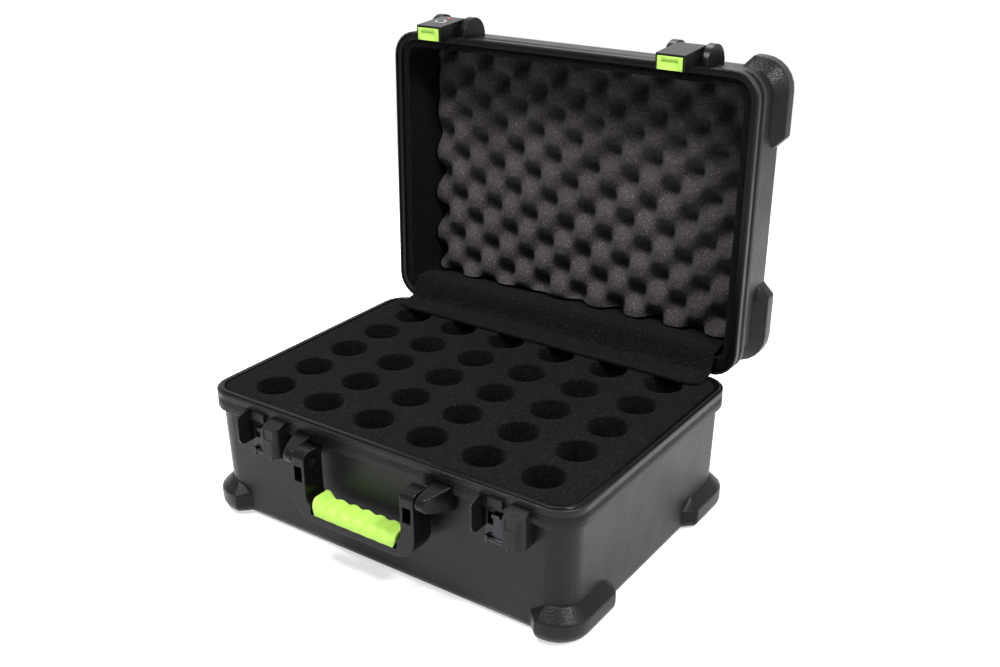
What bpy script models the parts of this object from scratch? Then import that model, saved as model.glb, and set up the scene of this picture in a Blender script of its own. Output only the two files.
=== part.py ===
"""Hard-shell case that carries thirty hand microphones in a drilled foam block.

A drafted base and lid with ribbed rim collars and corner bumpers, two knuckle hinges at
the back, two push-tab latches on the lid, their catches on the base, and a drop handle.
The lid stands open. The frame: X along the width, -Y to the front, +Z up, in metres, with
the origin on the ground under the middle of the base.
"""
import math

import bmesh
import bpy
from mathutils import Matrix, Vector

# ---- Case: base, lid and their rim collars ----
CASE_WIDTH = 0.4520
CASE_DEPTH = 0.3240
BASE_HEIGHT = 0.1425
LID_HEIGHT = 0.0880
LID_OPEN_DEGREES = 91.0
CORNER_RADIUS = 0.0290
WALL_CORNER_RADIUS = 0.0250
CAVITY_CORNER_RADIUS = 0.0220
COLLAR_HEIGHT = 0.0205
COLLAR_EDGE = 0.0008
RIM_WIDTH = 0.0082
RIB_ZONE_HEIGHT = 0.0072
RIB_DEPTH = 0.0009
RIB_COUNT = 3
WALL_STEP = 0.0050
WALL = 0.0034
DRAFT = 0.0028
FLOOR = 0.0036
BOTTOM_ROUND = 0.0090
LID_TOP_ROUND = 0.0110
PARTING_GAP = 0.0003
SEAT_GAP = 0.0003
CUT_OVERRUN = 0.0060
COLLAR_CORNER_STEPS = 6
WALL_CORNER_STEPS = 5

# ---- Corner bumpers, shared by base and lid ----
BUMPER_SIDE_LENGTH = 0.0880
BUMPER_FRONT_LENGTH = 0.0480
BUMPER_HEIGHT = 0.0370
BUMPER_PROUD = 0.0130
BUMPER_CORNER_RADIUS = 0.0340
BUMPER_SLOPE = 0.0125
BUMPER_ROUND = 0.0120
BUMPER_ROUND_STEPS = 4
BUMPER_EDGE = 0.0016
BUMPER_LIFT = 0.0008

# ---- Rim lip on the base and the seal in the lid ----
LIP_RISE = 0.0015
LIP_WIDTH = 0.0055
LIP_DEPTH = 0.0065
LIP_EDGE = 0.0010
SEAL_THICKNESS = 0.0024

# ---- Microphone foam ----
MIC_COLUMNS = 6
MIC_ROWS = 5
MIC_PITCH_X = 0.0670
MIC_PITCH_Y = 0.0580
MIC_HOLE_RADIUS = 0.0210
MIC_HOLE_SIDES = 18
FOAM_BELOW_LIP = 0.0010
PAD_THICKNESS = 0.0120

# ---- Lid foam ----
SIDE_FOAM_THICKNESS = 0.0080
SIDE_FOAM_BELOW_SEAL = 0.0010
WAVE_FOAM_MARGIN = 0.0035
WAVE_FOAM_THICKNESS = 0.0360
WAVE_DEPTH = 0.0200
WAVE_PITCH = 0.0361
WAVE_TURN_DEGREES = 49.2
WAVE_START_X = -0.0633
WAVE_START_Y = -0.0783
WAVE_COLUMNS = 38
WAVE_ROWS = 25

# ---- Drop handle ----
HANDLE_WIDTH = 0.1510
HANDLE_FRONT = 0.0310
HANDLE_BODY = 0.0260
HANDLE_TOP_DROP = 0.0142
HANDLE_HEIGHT = 0.0725
HANDLE_ARM = 0.0160
HANDLE_BAR = 0.0150
HANDLE_OUTER_RADIUS = 0.0240
HANDLE_INNER_RADIUS = 0.0130
HANDLE_HEEL_RADIUS = 0.0080
PIVOT_DEPTH = 0.0190
PIVOT_DROP = 0.0135
PIVOT_RADIUS = 0.0030
PIVOT_CLEARANCE = 0.0003
SLOT_WIDTH = 0.0100
SLOT_HEIGHT = 0.0170
SLOT_DROP = 0.0150
SLOT_DEPTH = 0.0140
GRIP_LENGTH = 0.1080
GRIP_SKIN = 0.0032
GRIP_FRONT_DROP = 0.0085
GRIP_END_RISE = 0.0065
GRIP_END_LENGTH = 0.0100
GRIP_WAVE = 0.0013
GRIP_WAVES = 5
GRIP_PROUD = 0.0006
GRIP_POINTS = 41
LUG_THICKNESS = 0.0100
LUG_GAP = 0.0008
LUG_NOSE_RADIUS = 0.0085
LUG_ROOT_HEIGHT = 0.0240
LUG_ROOT_RISE = 0.0040
LUG_TOP_DROP = 0.0010
LUG_FLARE = 0.0120
LUG_EDGE = 0.0014

# ---- Latches on the lid ----
LATCH_SPACING = 0.2940
ARM_WIDTH = 0.0320
ARM_REACH = 0.0385
ARM_TIP_FRONT = 0.0155
ARM_ROOT_FRONT = 0.0195
ARM_BACK_GAP = 0.0010
ARM_WALL = 0.0020
LATCH_PIVOT_FRONT = 0.0108
LATCH_PIVOT_RISE = 0.0080
ARM_END_RADIUS = 0.0090
LATCH_PIN_RADIUS = 0.0020
EAR_RADIUS = 0.0205
EAR_RISE = 0.0150
EAR_THICKNESS = 0.0080
EAR_CLEARANCE = 0.0004
EAR_WEB_RISE = 0.0192
EAR_WEB_FRONT = 0.0120
TAB_SIDE_GAP = 0.0004
TAB_BACK = 0.0006
TAB_PROUD = 0.0010
TAB_CAP = 0.0030
TAB_LEG_DEPTH = 0.0060
TAB_LEG_LENGTH = 0.0120
TAB_LEG_WIDTH = 0.0040
TAB_SCOOP_RADIUS = 0.0120
TAB_SCOOP_DEPTH = 0.0015
TAB_SCOOP_SHARE = 0.62
CLAW_WIDTH = 0.0080
CLAW_INSET = 0.0040
CLAW_THICKNESS = 0.0020
CLAW_NOSE_HEIGHT = 0.0030
CLAW_DROP = 0.0300
CLAW_NOSE_BACK = 0.0018
ARM_HOLLOW = 0.0334

# ---- Key lock on the left latch ----
KEY_BARREL_RADIUS = 0.0065
KEY_BARREL_DEPTH = 0.0050
KEY_BARREL_PROUD = 0.0008
KEY_PLUG_RADIUS = 0.0042
KEY_PLUG_PROUD = 0.0004
KEY_SLOT_WIDTH = 0.0009
KEY_SLOT_LENGTH = 0.0056
KEY_SLOT_DEPTH = 0.0025
KEY_DROP = 0.0160
INDICATOR_RADIUS = 0.0022
INDICATOR_DEPTH = 0.0018
INDICATOR_PROUD = 0.0005
INDICATOR_DROP = 0.0010

# ---- Catches on the base ----
GUARD_FRONT = 0.0156
GUARD_TOP_DROP = 0.0072
GUARD_HEIGHT = 0.0365
GUARD_GAP = 0.0005
GUARD_FLANGE = 0.0026
GUARD_BLOCK = 0.0205
GUARD_EDGE = 0.0014
GUARD_PLAN_RADIUS = 0.0085
GUARD_PLAN_STEPS = 6
GUARD_TOE_RADIUS = 0.0090
GUARD_SLANT = 0.0050
GUARD_SHOULDER = 0.0040
GUARD_PANEL_WIDTH = 0.0120
GUARD_PANEL_HEIGHT = 0.0110
GUARD_PANEL_DEPTH = 0.0006
GUARD_PANEL_DROP = 0.0060
BOSS_WIDTH = 0.0160
BOSS_HEIGHT = 0.0085
BOSS_TOP_DROP = 0.0065
BOSS_PROUD = 0.0035
CATCH_WIDTH = 0.0300
CATCH_TOP_DROP = 0.0209
CATCH_HEIGHT = 0.0366
CATCH_PLATE = 0.0016
CATCH_EAR_SPAN = 0.0200
CATCH_EAR_THICKNESS = 0.0030
CATCH_EAR_PROUD = 0.0040
CATCH_EAR_HEIGHT = 0.0080
CATCH_WINDOW_WIDTH = 0.0060
CATCH_WINDOW_HEIGHT = 0.0140
CATCH_WINDOW_DROP = 0.0040
CATCH_BAR_WIDTH = 0.0090
CATCH_BAR_THICKNESS = 0.0024
CATCH_BAR_HEIGHT = 0.0295
CATCH_NOSE_HEIGHT = 0.0036
CATCH_NOSE_PROUD = 0.0042
CATCH_HUB_RADIUS = 0.0026
CATCH_PIN_RADIUS = 0.0011
RUNNING_GAP = 0.0003

# ---- Rear hinges ----
HINGE_SPACING = 0.2700
HINGE_OUT = 0.0015
HINGE_DROP = 0.0011
HINGE_LENGTH = 0.0540
HINGE_KNUCKLES = 5
HINGE_RADIUS = 0.0026
HINGE_PIN_RADIUS = 0.0011
HINGE_GAP = 0.0003
HINGE_LEAF = 0.0015
HINGE_LEAF_HEIGHT = 0.0150
HINGE_LEAF_NECK = 0.0014
HINGE_STOP_HEIGHT = 0.0030
HINGE_STOP_REACH = 0.0050
HINGE_NOTCH_GAP = 0.0006

# A face looks outwards, or caps an end, when its normal has at least these shares.
OUTWARD_SHARE = 0.1
CAP_SHARE = 0.9

HALF_X = CASE_WIDTH / 2
HALF_Y = CASE_DEPTH / 2
RIM_Z = BASE_HEIGHT
LID_RIM_Z = RIM_Z + PARTING_GAP
LID_TOP_Z = RIM_Z + LID_HEIGHT
LIP_TOP_Z = RIM_Z + LIP_RISE
HINGE_Y = HALF_Y + HINGE_OUT
HINGE_Z = RIM_Z - HINGE_DROP
LATCH_X = LATCH_SPACING / 2
HINGE_X = HINGE_SPACING / 2

FINISHES = {
    "shell": ((0.020, 0.020, 0.022), 0.55, 0.0),
    "glossy": ((0.012, 0.012, 0.013), 0.25, 0.0),
    "foam": ((0.018, 0.018, 0.020), 0.95, 0.0),
    "lime": ((0.470, 0.870, 0.090), 0.50, 0.0),
    "steel": ((0.420, 0.420, 0.430), 0.35, 1.0),
    "dark_steel": ((0.060, 0.060, 0.065), 0.40, 0.9),
    "red": ((0.600, 0.030, 0.020), 0.35, 0.0),
}


def clear_scene():
    """Remove every object that the start-up file brought."""
    for obj in list(bpy.data.objects):
        bpy.data.objects.remove(obj)


def new_collection(name):
    """Return a new collection linked to the scene."""
    collection = bpy.data.collections.new(name)
    bpy.context.scene.collection.children.link(collection)
    return collection


def new_finish(name, colour, roughness, metallic):
    """Return a Principled material of one colour."""
    material = bpy.data.materials.new(name)
    material.use_nodes = True
    shader = material.node_tree.nodes["Principled BSDF"]
    shader.inputs["Base Color"].default_value = (*colour, 1.0)
    shader.inputs["Roughness"].default_value = roughness
    shader.inputs["Metallic"].default_value = metallic
    return material


clear_scene()
PARTS = new_collection("microphone_case")
TOOLS = new_collection("cutters_and_guides")
MATERIALS = {key: new_finish(key, *values) for key, values in FINISHES.items()}


def place(name, mesh, collection, finish=None):
    """Link a mesh as a named object, a cutter when the collection is TOOLS."""
    obj = bpy.data.objects.new(name, mesh)
    collection.objects.link(obj)
    if finish:
        mesh.materials.append(MATERIALS[finish])
    if collection is TOOLS:
        obj.hide_render = True
        obj.display_type = "WIRE"
    return obj


def mesh_from(bm, name):
    """Write a bmesh, with its faces turned out, to a new mesh."""
    bmesh.ops.recalc_face_normals(bm, faces=bm.faces)
    if bm.calc_volume(signed=True) < 0:
        bmesh.ops.reverse_faces(bm, faces=bm.faces)
    mesh = bpy.data.meshes.new(name)
    bm.to_mesh(mesh)
    bm.free()
    return mesh


def smooth(obj, degrees=35.0):
    """Shade an object smooth with sharp edges kept sharp."""
    obj.data.shade_smooth()
    obj.data.set_sharp_from_angle(angle=math.radians(degrees))


def block(name, low, high, collection=TOOLS, finish=None):
    """A box between two corners."""
    bm = bmesh.new()
    bmesh.ops.create_cube(bm, size=1.0)
    low, high = Vector(low), Vector(high)
    size = high - low
    bmesh.ops.scale(bm, vec=size, verts=bm.verts)
    bmesh.ops.translate(bm, vec=(low + high) / 2, verts=bm.verts)
    return place(name, mesh_from(bm, name), collection, finish)


def soften(obj, width, segments=2):
    """Round the sharp edges of an object."""
    bevel = obj.modifiers.new("edge_round", "BEVEL")
    bevel.width = width
    bevel.segments = segments
    bevel.limit_method = "ANGLE"
    bevel.angle_limit = math.radians(40)
    return bevel


def rod(name, radius, start, end, collection=TOOLS, finish=None, sides=20):
    """A cylinder from one point to another."""
    start, end = Vector(start), Vector(end)
    bm = bmesh.new()
    turn = (end - start).to_track_quat("Z", "Y").to_matrix().to_4x4()
    bmesh.ops.create_cone(
        bm,
        cap_ends=True,
        segments=sides,
        radius1=radius,
        radius2=radius,
        depth=(end - start).length,
        matrix=Matrix.Translation((start + end) / 2) @ turn,
    )
    return place(name, mesh_from(bm, name), collection, finish)


def curve_points(name, points):
    """A closed flat curve through the points."""
    curve = bpy.data.curves.new(name, "CURVE")
    curve.dimensions = "2D"
    curve.fill_mode = "BOTH"
    spline = curve.splines.new("POLY")
    spline.points.add(len(points) - 1)
    for spot, (across, along) in zip(spline.points, points):
        spot.co = (across, along, 0, 1)
    spline.use_cyclic_u = True
    return curve


def mesh_of_curve(obj):
    """The welded mesh of a curve object, which is removed."""
    bpy.context.view_layer.update()
    graph = bpy.context.evaluated_depsgraph_get()
    mesh = bpy.data.meshes.new_from_object(obj.evaluated_get(graph))
    bm = bmesh.new()
    bm.from_mesh(mesh)
    bm.transform(obj.matrix_world)
    bmesh.ops.remove_doubles(bm, verts=bm.verts, dist=1e-6)
    bpy.data.meshes.remove(mesh)
    bpy.data.objects.remove(obj)
    return bm


AXES = {
    "XY": Matrix(((1, 0, 0, 0), (0, 1, 0, 0), (0, 0, 1, 0), (0, 0, 0, 1))),
    "XZ": Matrix(((1, 0, 0, 0), (0, 0, 1, 0), (0, 1, 0, 0), (0, 0, 0, 1))),
    "YZ": Matrix(((0, 0, 1, 0), (1, 0, 0, 0), (0, 1, 0, 0), (0, 0, 0, 1))),
}


def prism(name, outline, plane, low, high, collection=TOOLS, finish=None):
    """An outline in a plane, drawn out along the third axis from low to high."""
    curve = curve_points(name, outline)
    curve.extrude = (high - low) / 2
    guide = bpy.data.objects.new(name, curve)
    TOOLS.objects.link(guide)
    guide.location = (0, 0, (high + low) / 2)
    bm = mesh_of_curve(guide)
    bm.transform(AXES[plane])
    return place(name, mesh_from(bm, name), collection, finish)


def arc(centre, radius, start, end, steps):
    """Points on an arc, angles in degrees, both ends included."""
    return [
        (
            centre[0] + radius * math.cos(math.radians(start + (end - start) * i / steps)),
            centre[1] + radius * math.sin(math.radians(start + (end - start) * i / steps)),
        )
        for i in range(steps + 1)
    ]


def rounded_outline(half_x, half_y, radius, steps):
    """The corner points of a rounded rectangle, counter-clockwise."""
    x, y = half_x - radius, half_y - radius
    return (
        arc((x, -y), radius, -90, 0, steps)
        + arc((x, y), radius, 0, 90, steps)
        + arc((-x, y), radius, 90, 180, steps)
        + arc((-x, -y), radius, 180, 270, steps)
    )


def swept_ring(name, profile, height, collection=TOOLS, finish=None):
    """A closed profile carried round the collar's outline.

    Profile points are (outwards from the collar's face, upwards from height).
    """
    section = bpy.data.objects.new(name + "_section", curve_points(name + "_section", profile))
    TOOLS.objects.link(section)
    path = curve_points(name, rounded_outline(HALF_X, HALF_Y, CORNER_RADIUS, COLLAR_CORNER_STEPS))
    path.dimensions = "3D"
    path.twist_mode = "Z_UP"
    path.bevel_mode = "OBJECT"
    path.bevel_object = section
    guide = bpy.data.objects.new(name, path)
    TOOLS.objects.link(guide)
    guide.location = (0, 0, height)
    bm = mesh_of_curve(guide)
    bpy.data.objects.remove(section)
    return place(name, mesh_from(bm, name), collection, finish)


def drafted_block(
    name, inset_low, inset_high, low, high, radius, end_round=None, collection=TOOLS, finish=None
):
    """A block inside the collar's outline whose sides lean, with its upright edges rounded.

    end_round is (height of the rounded end, radius) or None.
    """
    bm = bmesh.new()
    bmesh.ops.create_cube(bm, size=2.0)
    for vert in bm.verts:
        inset, z = (inset_low, low) if vert.co.z < 0 else (inset_high, high)
        vert.co = (
            math.copysign(HALF_X - inset, vert.co.x),
            math.copysign(HALF_Y - inset, vert.co.y),
            z,
        )
    bmesh.ops.recalc_face_normals(bm, faces=bm.faces)
    upright = [e for e in bm.edges if e.verts[0].co.z != e.verts[1].co.z]
    bmesh.ops.bevel(
        bm,
        geom=upright,
        offset=radius,
        offset_type="OFFSET",
        segments=WALL_CORNER_STEPS,
        profile=0.5,
        affect="EDGES",
    )
    if end_round:
        end, width = end_round
        bmesh.ops.recalc_face_normals(bm, faces=bm.faces)
        rim = [
            e
            for e in bm.edges
            if all(abs(v.co.z - end) < SEAT_GAP for v in e.verts)
            and len({abs(f.normal.z) > CAP_SHARE for f in e.link_faces}) == 2
        ]
        bmesh.ops.bevel(
            bm,
            geom=rim,
            offset=width,
            offset_type="OFFSET",
            segments=3,
            profile=0.5,
            affect="EDGES",
        )
    return place(name, mesh_from(bm, name), collection, finish)


def combine(target, other, operation):
    """Join or cut with an exact Boolean."""
    step = target.modifiers.new(operation.lower() + "_" + other.name, "BOOLEAN")
    step.operation = operation
    step.object = other
    step.solver = "EXACT"
    return step


def join(target, *others):
    """Join solids to a target."""
    for other in others:
        combine(target, other, "UNION")


def cut(target, *others):
    """Cut solids from a target."""
    for other in others:
        combine(target, other, "DIFFERENCE")


def pivot(name, location, parent=None):
    """An empty on a joint's axis."""
    empty = bpy.data.objects.new(name, None)
    PARTS.objects.link(empty)
    empty.location = location
    empty.parent = parent
    return empty


def carry(obj, empty):
    """Hang an object and its cutters on an empty without moving them, origins on the empty."""
    cutters = [step.object for step in obj.modifiers if step.type == "BOOLEAN"]
    for item in [obj, *cutters]:
        if item.parent is None:
            item.data.transform(Matrix.Translation(-PIVOTS[empty.name]))
            item.parent = empty


PIVOTS = {}


def new_pivot(name, spot, parent=None):
    """An empty at a spot of the closed case, under another empty if one is given."""
    PIVOTS[name] = Vector(spot)
    local = Vector(spot) - PIVOTS[parent.name] if parent else Vector(spot)
    return pivot(name, local, parent)


# ---- Base shell ----
def collar_profile(direction, seat_depth):
    """Section of a rim collar with its seal seat, from its parting face away along direction."""
    first = (COLLAR_HEIGHT - RIB_ZONE_HEIGHT) / 2
    seat = LIP_WIDTH - RIM_WIDTH + SEAT_GAP
    points = [
        (-RIM_WIDTH - COLLAR_EDGE, seat_depth),
        (seat, seat_depth),
        (seat, 0),
        (-COLLAR_EDGE, 0),
        (0, COLLAR_EDGE),
        (0, first),
    ]
    rib = RIB_ZONE_HEIGHT / (RIB_COUNT + 1)
    for i in range(RIB_COUNT + 1):
        if i:
            points.append((0, first + rib * i))
        points.append((-RIB_DEPTH, first + rib * (i + 0.5)))
    points += [
        (0, first + RIB_ZONE_HEIGHT),
        (0, COLLAR_HEIGHT - COLLAR_EDGE),
        (-COLLAR_EDGE, COLLAR_HEIGHT),
        (-RIM_WIDTH - COLLAR_EDGE, COLLAR_HEIGHT),
    ]
    return [(out, direction * up) for out, up in points]


def bumper(name, side, end, low, high, rim_z):
    """One corner bumper, sloped towards the rim and at its ends, that reaches into the walls."""
    reach = BUMPER_PROUD - WALL_STEP - DRAFT
    inner_x = HALF_X - BUMPER_FRONT_LENGTH
    inner_y = HALF_Y - BUMPER_SIDE_LENGTH
    bm = bmesh.new()
    bmesh.ops.create_cube(bm, size=2.0)
    for vert in bm.verts:
        vert.co = (
            side * (HALF_X + reach if vert.co.x > 0 else inner_x),
            end * (HALF_Y + reach if vert.co.y > 0 else inner_y),
            high if vert.co.z > 0 else low,
        )
    bmesh.ops.recalc_face_normals(bm, faces=bm.faces)
    corner = [e for e in bm.edges if all(abs(v.co.x) > HALF_X and abs(v.co.y) > HALF_Y for v in e.verts)]
    bmesh.ops.bevel(
        bm,
        geom=corner,
        offset=BUMPER_CORNER_RADIUS,
        offset_type="OFFSET",
        segments=COLLAR_CORNER_STEPS,
        profile=0.5,
        affect="EDGES",
    )
    bmesh.ops.recalc_face_normals(bm, faces=bm.faces)

    def faces_out(face):
        return max(side * face.normal.x, end * face.normal.y) > OUTWARD_SHARE

    def is_cap(face):
        return abs(face.normal.z) > CAP_SHARE

    ends = [
        edge
        for edge in bm.edges
        if len([f for f in edge.link_faces if faces_out(f)]) == 1
        and not any(is_cap(f) for f in edge.link_faces)
    ]
    bmesh.ops.bevel(bm, geom=ends, offset=BUMPER_SLOPE, offset_type="OFFSET", segments=1, affect="EDGES")
    bmesh.ops.recalc_face_normals(bm, faces=bm.faces)
    rims = [
        edge
        for edge in bm.edges
        if any(is_cap(f) for f in edge.link_faces) and any(faces_out(f) for f in edge.link_faces)
    ]
    ground = [edge for edge in rims if abs(edge.verts[0].co.z - rim_z) > SEAT_GAP]
    sloped = [edge for edge in rims if edge not in ground]
    bmesh.ops.bevel(bm, geom=sloped, offset=BUMPER_SLOPE, offset_type="OFFSET", segments=1, affect="EDGES")
    bmesh.ops.bevel(
        bm,
        geom=[edge for edge in ground if edge.is_valid],
        offset=BUMPER_ROUND,
        offset_type="OFFSET",
        segments=BUMPER_ROUND_STEPS,
        profile=0.5,
        affect="EDGES",
    )
    made = place(name, mesh_from(bm, name), TOOLS)
    soften(made, BUMPER_EDGE, 2)
    return made


def bumpers(prefix, low, high, rim_z):
    """The four corner bumpers of a shell."""
    return [
        bumper(prefix + "_bumper_" + str(side) + "_" + str(end), side, end, low, high, rim_z)
        for side in (-1, 1)
        for end in (-1, 1)
    ]


base_wall_top = RIM_Z - COLLAR_HEIGHT / 2
base_shell = drafted_block(
    "base_shell",
    WALL_STEP + DRAFT,
    WALL_STEP,
    0,
    base_wall_top,
    WALL_CORNER_RADIUS,
    (0, BOTTOM_ROUND),
    PARTS,
    "shell",
)
join(base_shell, swept_ring("base_collar", collar_profile(-1, LIP_DEPTH), RIM_Z))
join(base_shell, *bumpers("base", BUMPER_LIFT, BUMPER_HEIGHT, BUMPER_HEIGHT))

GUARD_TOP_Z = RIM_Z - GUARD_TOP_DROP
GUARD_LOW_Z = GUARD_TOP_Z - GUARD_HEIGHT
GUARD_FACE_Y = -HALF_Y - GUARD_FRONT
arm_side = ARM_WIDTH / 2
catch_panels = []
for hand, centre in (("left", -LATCH_X), ("right", LATCH_X)):
    inner = arm_side + GUARD_GAP
    root_y = -HALF_Y + WALL_STEP + WALL
    toe = arc(
        (GUARD_FACE_Y + GUARD_TOE_RADIUS, GUARD_LOW_Z + GUARD_TOE_RADIUS), GUARD_TOE_RADIUS, 180, 270, 6
    )
    shoulder = [
        (root_y, GUARD_TOP_Z),
        (-HALF_Y - GUARD_SHOULDER, GUARD_TOP_Z),
        (GUARD_FACE_Y, GUARD_TOP_Z - GUARD_SLANT),
    ]
    flange = prism(
        "guard_flange_" + hand,
        shoulder + toe + [(root_y, GUARD_LOW_Z)],
        "YZ",
        centre - inner - GUARD_FLANGE,
        centre - inner,
    )
    soften(flange, GUARD_FLANGE / 3, 2)
    guard_near, guard_far = centre + inner, centre + inner + GUARD_BLOCK
    guard_corner = arc(
        (guard_far - GUARD_PLAN_RADIUS, GUARD_FACE_Y + GUARD_PLAN_RADIUS),
        GUARD_PLAN_RADIUS,
        270,
        360,
        GUARD_PLAN_STEPS,
    )
    guard = prism(
        "guard_block_" + hand,
        [(guard_near, GUARD_FACE_Y)] + guard_corner + [(guard_far, root_y), (guard_near, root_y)],
        "XY",
        GUARD_LOW_Z,
        GUARD_TOP_Z,
    )
    slope_back = -HALF_Y - GUARD_SHOULDER
    slope_over = CUT_OVERRUN * GUARD_SLANT / (slope_back - GUARD_FACE_Y)
    guard_slope = prism(
        "guard_slope_" + hand,
        [
            (GUARD_FACE_Y - CUT_OVERRUN, GUARD_TOP_Z - GUARD_SLANT - slope_over),
            (slope_back + CUT_OVERRUN, GUARD_TOP_Z + slope_over),
            (slope_back + CUT_OVERRUN, GUARD_TOP_Z + CUT_OVERRUN),
            (GUARD_FACE_Y - CUT_OVERRUN, GUARD_TOP_Z + CUT_OVERRUN),
        ],
        "YZ",
        guard_near - CUT_OVERRUN,
        guard_far + CUT_OVERRUN,
    )
    cut(guard, guard_slope)
    soften(guard, GUARD_EDGE, 2)
    boss_top = RIM_Z - BOSS_TOP_DROP
    boss = block(
        "rim_boss_" + hand,
        (centre - BOSS_WIDTH / 2, -HALF_Y - BOSS_PROUD, boss_top - BOSS_HEIGHT),
        (centre + BOSS_WIDTH / 2, (RIM_WIDTH - LIP_WIDTH) / 2 - HALF_Y, boss_top),
    )
    panel_x = centre + inner + (GUARD_BLOCK - GUARD_PANEL_WIDTH) / 3
    panel = block(
        "guard_panel_" + hand,
        (panel_x, GUARD_FACE_Y - CUT_OVERRUN, GUARD_TOP_Z - GUARD_PANEL_DROP - GUARD_PANEL_HEIGHT),
        (panel_x + GUARD_PANEL_WIDTH, GUARD_FACE_Y + GUARD_PANEL_DEPTH, GUARD_TOP_Z - GUARD_PANEL_DROP),
    )
    join(base_shell, flange, guard, boss)
    catch_panels.append(panel)
cut(base_shell, *catch_panels)

base_cavity = drafted_block(
    "base_cavity",
    WALL_STEP + DRAFT + WALL,
    RIM_WIDTH,
    FLOOR,
    RIM_Z + CUT_OVERRUN,
    CAVITY_CORNER_RADIUS,
)
cut(base_shell, base_cavity)


def hinge_notch(name, centre, low, high):
    """The pocket in a collar that clears a hinge barrel."""
    reach = HINGE_RADIUS + HINGE_NOTCH_GAP
    return block(
        name,
        (centre - HINGE_LENGTH / 2 - HINGE_NOTCH_GAP, HINGE_Y - reach, low),
        (centre + HINGE_LENGTH / 2 + HINGE_NOTCH_GAP, HINGE_Y + reach, high),
    )


barrel_reach = HINGE_RADIUS + HINGE_NOTCH_GAP
for hand, centre in (("left", -HINGE_X), ("right", HINGE_X)):
    cut(
        base_shell,
        hinge_notch("base_notch_" + hand, centre, HINGE_Z - barrel_reach, RIM_Z + CUT_OVERRUN),
    )
smooth(base_shell)

# ---- Rim lip, foam block and floor pad ----
rim_lip = swept_ring(
    "rim_lip",
    [
        (-RIM_WIDTH, SEAT_GAP - LIP_DEPTH),
        (LIP_WIDTH - RIM_WIDTH, SEAT_GAP - LIP_DEPTH),
        (LIP_WIDTH - RIM_WIDTH, LIP_RISE - LIP_EDGE),
        (LIP_WIDTH - RIM_WIDTH - LIP_EDGE, LIP_RISE),
        (LIP_EDGE - RIM_WIDTH, LIP_RISE),
        (-RIM_WIDTH, LIP_RISE - LIP_EDGE),
    ],
    RIM_Z,
    PARTS,
    "glossy",
)
smooth(rim_lip)


def wall_inset(z):
    """How far inside the collar the base cavity's wall stands at a height."""
    low, high = WALL_STEP + DRAFT + WALL, RIM_WIDTH
    share = (z - FLOOR) / (RIM_Z + CUT_OVERRUN - FLOOR)
    return low + (high - low) * share


pad_low = FLOOR + SEAT_GAP
pad_high = pad_low + PAD_THICKNESS
base_pad = drafted_block(
    "base_pad",
    wall_inset(pad_low) + SEAT_GAP,
    wall_inset(pad_high) + SEAT_GAP,
    pad_low,
    pad_high,
    CAVITY_CORNER_RADIUS,
    None,
    PARTS,
    "foam",
)
foam_low = pad_high + SEAT_GAP
foam_high = LIP_TOP_Z - FOAM_BELOW_LIP
mic_foam = drafted_block(
    "mic_foam",
    wall_inset(foam_low) + SEAT_GAP,
    wall_inset(foam_high) + SEAT_GAP,
    foam_low,
    foam_high,
    CAVITY_CORNER_RADIUS,
    None,
    PARTS,
    "foam",
)
holes = bmesh.new()
for column in range(MIC_COLUMNS):
    for row in range(MIC_ROWS):
        spot = Vector(
            (
                (column - (MIC_COLUMNS - 1) / 2) * MIC_PITCH_X,
                (row - (MIC_ROWS - 1) / 2) * MIC_PITCH_Y,
                (foam_low + foam_high) / 2,
            )
        )
        bmesh.ops.create_cone(
            holes,
            cap_ends=True,
            segments=MIC_HOLE_SIDES,
            radius1=MIC_HOLE_RADIUS,
            radius2=MIC_HOLE_RADIUS,
            depth=foam_high - foam_low + 2 * CUT_OVERRUN,
            matrix=Matrix.Translation(spot),
        )
cut(mic_foam, place("mic_holes", mesh_from(holes, "mic_holes"), TOOLS))
smooth(mic_foam)

# ---- Drop handle on the front ----
HANDLE_FACE_Y = -HALF_Y - HANDLE_FRONT
HANDLE_BACK_Y = HANDLE_FACE_Y + HANDLE_BODY
HANDLE_TOP_Z = RIM_Z - HANDLE_TOP_DROP
HANDLE_LOW_Z = HANDLE_TOP_Z - HANDLE_HEIGHT
PIVOT_Y = -HALF_Y - PIVOT_DEPTH
PIVOT_Z = HANDLE_TOP_Z - PIVOT_DROP
handle_half = HANDLE_WIDTH / 2


def handle_outline(clearance):
    """Front view of the U-shaped frame, grown by a clearance."""
    out_x = handle_half + clearance
    in_x = handle_half - HANDLE_ARM - clearance
    low = HANDLE_LOW_Z - clearance
    top = HANDLE_TOP_Z + clearance
    floor = HANDLE_LOW_Z + HANDLE_BAR + clearance
    out_r = HANDLE_OUTER_RADIUS + clearance
    in_r = HANDLE_INNER_RADIUS - clearance
    return (
        [(out_x, top)]
        + [(in_x, top)]
        + arc((in_x - in_r, floor + in_r), in_r, 0, -90, 5)
        + arc((in_r - in_x, floor + in_r), in_r, -90, -180, 5)
        + [(-in_x, top), (-out_x, top)]
        + arc((out_r - out_x, low + out_r), out_r, 180, 270, 7)
        + arc((out_x - out_r, low + out_r), out_r, 270, 360, 7)
    )


handle_pivot = new_pivot("handle_pivot", (0, PIVOT_Y, PIVOT_Z))
handle_frame = prism(
    "handle_frame", handle_outline(0), "XZ", HANDLE_FACE_Y, HANDLE_BACK_Y, PARTS, "shell"
)
soften(handle_frame, HANDLE_BAR / 8, 2)

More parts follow.
